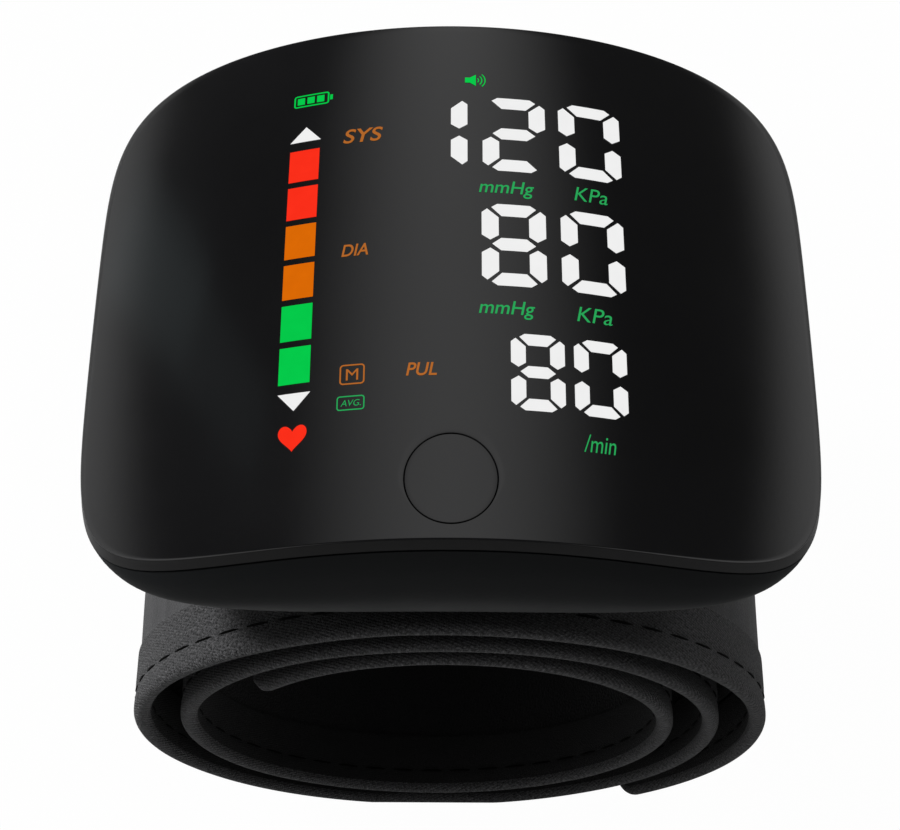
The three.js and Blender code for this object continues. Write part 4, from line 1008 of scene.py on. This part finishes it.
# Hook tape: the gripping strip on the inside of the flap that closes the cuff.
# A woven nylon base sewn on, with rows of tiny stiff hooks standing on it.
HOOK_START, HOOK_END = -46.0, -2.0
HOOK_HALF_WIDTH = 22.7
HOOK_BASE_DEPTH = 2.0
HOOK_BASE_THICKNESS = 0.4
HOOK_HEIGHT = 0.5
HOOK_SPACING = 1.3
HOOK_OVERHANG, HOOK_HALF_THICKNESS, HOOK_SINK = 0.7, 0.1, 0.05
HOOK_STRAY_ALONG, HOOK_STRAY_ACROSS = 0.25, 0.2
HOOK_HALF_ANGLE = 0.17
HOOK_NYLON = 1
STRIP_UV_STEP, STRIP_UV_SHIFT = 0.42, 60
STRIP_STEPS, STRIP_COLUMNS = 60, 46
# Line of a hook from its foot: lean, rise
HOOK_LINE = ((0.0, 0.0), (0.05, 0.55), (0.25, 0.95), (0.55, 0.9), (0.66, 0.6))

hook_mesh = bmesh.new()
hook_uv = hook_mesh.loops.layers.uv.new("cloth")
layers = []
for depth in (HOOK_BASE_DEPTH, HOOK_BASE_DEPTH + HOOK_BASE_THICKNESS):
    layers.append([[hook_mesh.verts.new(roll_point(HOOK_START + (HOOK_END - HOOK_START) * i / STRIP_STEPS, depth,
                                                   HOOK_HALF_WIDTH * (2 * j / STRIP_COLUMNS - 1)) * MM)
                    for j in range(STRIP_COLUMNS + 1)] for i in range(STRIP_STEPS + 1)])


def strip_face(corners):
    face = hook_mesh.faces.new([layers[side][i][j] for side, i, j in corners])
    for loop, (side, i, j) in zip(face.loops, corners):
        loop[hook_uv].uv = (i * STRIP_UV_STEP * UV_SCALE, (j + STRIP_UV_SHIFT * side) * UV_SCALE)


for i in range(STRIP_STEPS):
    for j in range(STRIP_COLUMNS):
        for side in (0, 1):
            strip_face(((side, i, j), (side, i + 1, j), (side, i + 1, j + 1), (side, i, j + 1)))
    for j in (0, STRIP_COLUMNS):
        strip_face(((0, i, j), (0, i + 1, j), (1, i + 1, j), (1, i, j)))
for j in range(STRIP_COLUMNS):
    for i in (0, STRIP_STEPS):
        strip_face(((0, i, j), (0, i, j + 1), (1, i, j + 1), (1, i, j)))
bmesh.ops.recalc_face_normals(hook_mesh, faces=hook_mesh.faces)
hook_rows = int(math.radians(HOOK_END - HOOK_START) * ROLL_START_RADIUS / HOOK_SPACING)
hook_columns = int(2 * HOOK_HALF_WIDTH / HOOK_SPACING)
for i in range(1, hook_rows):
    for j in range(1, hook_columns):
        along_stray = HOOK_STRAY_ALONG * noise.noise(Vector((i * 0.7, j * 0.9, 2)))
        across_stray = HOOK_STRAY_ACROSS * noise.noise(Vector((i * 0.8, j * 0.6, 5)))
        angle = HOOK_START + (HOOK_END - HOOK_START) * (i + along_stray) / hook_rows
        y = HOOK_HALF_WIDTH * (2 * j / hook_columns - 1) + across_stray
        facing = 1 if (i + j) % 2 else -1
        rings = []
        for lean, rise in HOOK_LINE:
            depth = HOOK_BASE_DEPTH + HOOK_BASE_THICKNESS + HOOK_HEIGHT * rise
            middle = roll_point(angle, depth - HOOK_SINK, y + facing * lean * HOOK_OVERHANG)
            along = roll_point(angle + HOOK_HALF_ANGLE, depth, y) - roll_point(angle - HOOK_HALF_ANGLE, depth, y)
            across, wide = along.normalized() * HOOK_HALF_THICKNESS, Vector((0, HOOK_HALF_THICKNESS, 0))
            rings.append([hook_mesh.verts.new((middle + step) * MM)
                          for step in (across + wide, across - wide, -across - wide, -across + wide)])
        for low, high in zip(rings, rings[1:]):
            join_rings(hook_mesh, low, high, HOOK_NYLON)
        hook_mesh.faces.new(rings[-1]).material_index = HOOK_NYLON
hook_strip = piece("hook_tape_strip", hook_mesh, sharp_degrees=50)
hook_strip.data.materials.append(woven_material(
    "hook_base_weave", (0.005, 0.005, 0.005, 1), (0.016, 0.016, 0.017, 1), 240.0, 0.3, 0.5, 0.25, 0.6, 0.05))
hook_strip.data.materials.append(moulded_material(
    "hook_nylon", (0.006, 0.006, 0.006, 1), (0.014, 0.014, 0.015, 1), 0.35, 0.5, bump=0.05))
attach(hook_strip, "flap")
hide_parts("hook_tape")


# Bow plate: the springy sheet under the top of the band that holds the cuff in a curve.
# Stamped from grey plastic sheet and held against the inside of the band by the cuff screws.
dress(["bow_plate"],
      moulded_material("bow_sheet_plastic", (0.032, 0.034, 0.038, 1), (0.044, 0.046, 0.05, 1), 0.32, 0.48, bump=0.1))


# Air bladder: the flat bag that swells against the wrist, fed by the nipple from the case.
# Two sheets of coated cloth welded all round, so it is thin at the rim and fuller in the middle.
BLADDER_START, BLADDER_END = 56.0, 188.0
BLADDER_HALF_WIDTH = 19.0
BLADDER_DEPTH = 2.7
BLADDER_FULLNESS = 0.8
BLADDER_RIM = 2.6
BLADDER_RIM_HALF, BLADDER_SLOPE = 0.12, 5
BLADDER_EDGE_ROUND = 0.15
BLADDER_RADIUS = 33
BAG_STEPS, BAG_COLUMNS = 132, 64
BAG_UV_ALONG, BAG_UV_ACROSS, BAG_UV_SHIFT = 0.58, 0.6, 60

bag_mesh = bmesh.new()
bag_uv = bag_mesh.loops.layers.uv.new("cloth")
bag_rows = []
for i in range(BAG_STEPS + 1):
    angle = BLADDER_START + (BLADDER_END - BLADDER_START) * i / BAG_STEPS
    row = []
    for j in range(BAG_COLUMNS + 1):
        y = BLADDER_HALF_WIDTH * (2 * j / BAG_COLUMNS - 1)
        along = min(angle - BLADDER_START, BLADDER_END - angle) * math.radians(1) * BLADDER_RADIUS
        edge = min(along, BLADDER_HALF_WIDTH - abs(y))
        swell = soft_step(edge, BLADDER_RIM, BLADDER_RIM + BLADDER_SLOPE)
        full = BLADDER_RIM_HALF + (BLADDER_FULLNESS / 2 - BLADDER_RIM_HALF) * swell
        full *= math.sqrt(max(0.0, 1 - (1 - min(edge, BLADDER_EDGE_ROUND) / BLADDER_EDGE_ROUND) ** 2))
        middle = BLADDER_DEPTH + BLADDER_FULLNESS / 2
        row.append((roll_point(angle, middle - full, y), roll_point(angle, middle + full, y)))
    bag_rows.append(row)
bag_verts = [[[bag_mesh.verts.new(p * MM) for p in pair] for pair in row] for row in bag_rows]
for i in range(BAG_STEPS):
    for j in range(BAG_COLUMNS):
        for side in (0, 1):
            corners = ((i, j), (i + 1, j), (i + 1, j + 1), (i, j + 1))
            face = bag_mesh.faces.new([bag_verts[a][b][side] for a, b in corners])
            for loop, (a, b) in zip(face.loops, corners):
                loop[bag_uv].uv = (a * BAG_UV_ALONG * UV_SCALE, (b * BAG_UV_ACROSS + BAG_UV_SHIFT * side) * UV_SCALE)
bmesh.ops.remove_doubles(bag_mesh, verts=bag_mesh.verts, dist=1e-7)
bmesh.ops.recalc_face_normals(bag_mesh, faces=bag_mesh.faces)
air_bag = piece("air_bladder_bag", bag_mesh, sharp_degrees=60)
air_bag.data.materials.append(woven_material(
    "coated_bag_cloth", (0.05, 0.053, 0.06, 1), (0.075, 0.08, 0.09, 1), 300.0, 0.0, 0.5, 0.2, 0.25, 0.05))
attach(air_bag, "monitor")
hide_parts("air_bladder")


# Studio: a white floor that keeps the shadow, a dim room whose glows the face mirrors, and soft lamps.
# A glow overhead draws the streak down the face, two window lamps the tint at its left,
# and the side and front lamps light the cuff; the camera stands where the photograph was taken.
CAMERA_PLACE = (-0.115, -87.21, FACE_TOP + 140.81)
CAMERA_PITCH = 63.454
CAMERA_ROLL = 0.218
PHOTO_WIDTH = 900
PHOTO_FOCAL_PIXELS = 1772.3
SENSOR_WIDTH = 36.0
STREAK_REACH = 0.88
STREAK_GLOW = 0.95
HORIZON_GLOW = 0.85
FRONT_GLOW = 1.3
ROOM_GLOW = 0.06
# Where each glow begins and where it is full, by direction: backward, upward or to a side
STREAK_BACKWARD, STREAK_UPWARD = (-0.25, 0.0), (0.2, 0.5)
HORIZON_SLOPE, HORIZON_HEIGHT, HORIZON_BACKWARD = 0.5, (0.52, 0.27), (-0.2, 0.15)
FRONT_BACKWARD, FRONT_UPWARD, FRONT_SIDEWAYS = (0.1, -0.15), (0.7, 0.3), (0.25, 0.6)
LEAST_RISE = 0.05
FLOOR_SIZE, FLOOR_DROP = 6.0, 0.0002
FLOOR_GREY, FLOOR_GREY_LIGHT = (0.3, 0.3, 0.3, 1), (0.33, 0.33, 0.33, 1)
FLOOR_IN_MIRRORS, FLOOR_WHITENESS = 0.3, 0.985

floor_mesh = bmesh.new()
bmesh.ops.create_grid(floor_mesh, x_segments=4, y_segments=4, size=FLOOR_SIZE)
floor = piece("studio_floor", floor_mesh)
floor.location.z = -FLOOR_DROP
floor_paint, tree, shader = new_material("floor_white")
place = node(tree, "ShaderNodeTexCoord").outputs["Object"]
grain = node(tree, "ShaderNodeTexNoise", Scale=9.0, Detail=2.0, Vector=place)
floor_grey = blend_colour(tree, grain.outputs["Fac"], FLOOR_GREY, FLOOR_GREY_LIGHT)
tree.links.new(floor_grey, shader.inputs["Base Color"])
shader.inputs["Roughness"].default_value = 0.9
shader.inputs["Specular IOR Level"].default_value = 0.1
path = node(tree, "ShaderNodeLightPath")
in_mirrors = calc(tree, "MAXIMUM", path.outputs["Is Glossy Ray"], path.outputs["Is Transmission Ray"])
seen = calc(tree, "MAXIMUM", path.outputs["Is Camera Ray"], calc(tree, "MULTIPLY", in_mirrors, FLOOR_IN_MIRRORS))
white = node(tree, "ShaderNodeEmission", Color=(1, 1, 1, 1), Strength=1.0)
mixed = node(tree, "ShaderNodeMixShader", i0=calc(tree, "MULTIPLY", seen, FLOOR_WHITENESS),
             i1=shader.outputs[0], i2=white.outputs[0])
tree.links.new(mixed.outputs[0], tree.nodes["Material Output"].inputs["Surface"])
floor.data.materials.append(floor_paint)

world = bpy.data.worlds.new("studio_room")
bpy.context.scene.world = world
world.use_nodes = True
tree = world.node_tree
direction = node(tree, "ShaderNodeSeparateXYZ", Vector=node(tree, "ShaderNodeTexCoord").outputs["Generated"])


def ramp(value, low, high):
    """Goes smoothly from nothing at low to one at high, where high may be the smaller number."""
    return node(tree, "ShaderNodeMapRange", {"interpolation_type": "SMOOTHSTEP"}, Value=value,
                From_Min=low, From_Max=high).outputs["Result"]


path = node(tree, "ShaderNodeLightPath")
sideways, backward, upward = direction.outputs["X"], direction.outputs["Y"], direction.outputs["Z"]
lean = calc(tree, "ABSOLUTE", calc(tree, "DIVIDE", sideways, calc(tree, "MAXIMUM", upward, LEAST_RISE)))
streak = calc(tree, "MULTIPLY", ramp(lean, STREAK_REACH, 0.0),
              calc(tree, "MULTIPLY", ramp(backward, *STREAK_BACKWARD), ramp(upward, *STREAK_UPWARD)))
slanted_height = calc(tree, "MULTIPLY_ADD", backward, HORIZON_SLOPE, upward)
horizon = calc(tree, "MULTIPLY", ramp(slanted_height, *HORIZON_HEIGHT), ramp(backward, *HORIZON_BACKWARD))
at_sides = ramp(calc(tree, "ABSOLUTE", sideways), *FRONT_SIDEWAYS)
front = calc(tree, "MULTIPLY", calc(tree, "MULTIPLY", ramp(backward, *FRONT_BACKWARD), ramp(upward, *FRONT_UPWARD)),
             calc(tree, "MULTIPLY", at_sides, path.outputs["Is Glossy Ray"]))
around = calc(tree, "MULTIPLY_ADD", front, FRONT_GLOW, calc(tree, "MULTIPLY_ADD", horizon, HORIZON_GLOW, ROOM_GLOW))
bright = calc(tree, "MAXIMUM", calc(tree, "MULTIPLY_ADD", streak, STREAK_GLOW, around), path.outputs["Is Camera Ray"])
room = blend_colour(tree, bright, (0, 0, 0, 1), (1, 1, 1, 1))
tree.links.new(room, tree.nodes["Background"].inputs["Color"])


def soft_lamp(name, place, aim, width, height, power, colour=(1, 1, 1), roll=0.0, mirrored=False):
    lamp = bpy.data.lights.new(name, "AREA")
    lamp.shape, lamp.size, lamp.size_y, lamp.energy, lamp.color = "RECTANGLE", width, height, power, colour
    obj = bpy.data.objects.new(name, lamp)
    bpy.context.collection.objects.link(obj)
    obj.location = place
    turned = Matrix.Rotation(math.radians(roll), 3, "Z")
    obj.rotation_euler = ((Vector(aim) - Vector(place)).to_track_quat("-Z", "Y").to_matrix() @ turned).to_euler()
    obj.visible_glossy = mirrored


FACE_MIDDLE = Vector((0, 0, FACE_TOP * MM))
ROLL_MIDDLE = (0, 0, 0.04)
SKY_TINT = (0.8, 0.97, 1.0)
WINDOW_ROLL = -13.0
soft_lamp("left_lamp", (-0.85, 0.2, 0.9), ROLL_MIDDLE, 0.3, 0.3, 25.0)
soft_lamp("right_lamp", (0.85, 0.2, 0.9), ROLL_MIDDLE, 0.3, 0.3, 2.4)
soft_lamp("front_lamp", (0, -1.1, 0.1), ROLL_MIDDLE, 0.6, 0.2, 1.3)
soft_lamp("window_lamp_low", FACE_MIDDLE + Vector((-0.738, 0.47, 0.21)), FACE_MIDDLE, 0.14, 0.33, 0.024,
          SKY_TINT, WINDOW_ROLL, True)
soft_lamp("window_lamp_tall", FACE_MIDDLE + Vector((-0.728, 0.395, 0.352)), FACE_MIDDLE, 0.126, 0.655, 0.032,
          SKY_TINT, WINDOW_ROLL, True)

camera_data = bpy.data.cameras.new("photo_camera")
camera_data.sensor_width = SENSOR_WIDTH
camera_data.lens = SENSOR_WIDTH * PHOTO_FOCAL_PIXELS / PHOTO_WIDTH
camera_data.clip_start = 0.005
camera = bpy.data.objects.new("photo_camera", camera_data)
bpy.context.collection.objects.link(camera)
camera.location = Vector(CAMERA_PLACE) * MM
tilt = Matrix.Rotation(math.radians(90 - CAMERA_PITCH), 3, "X")
camera.rotation_euler = (tilt @ Matrix.Rotation(math.radians(CAMERA_ROLL), 3, "Z")).to_euler()
bpy.context.scene.camera = camera
bpy.context.scene.view_settings.view_transform = "Standard"
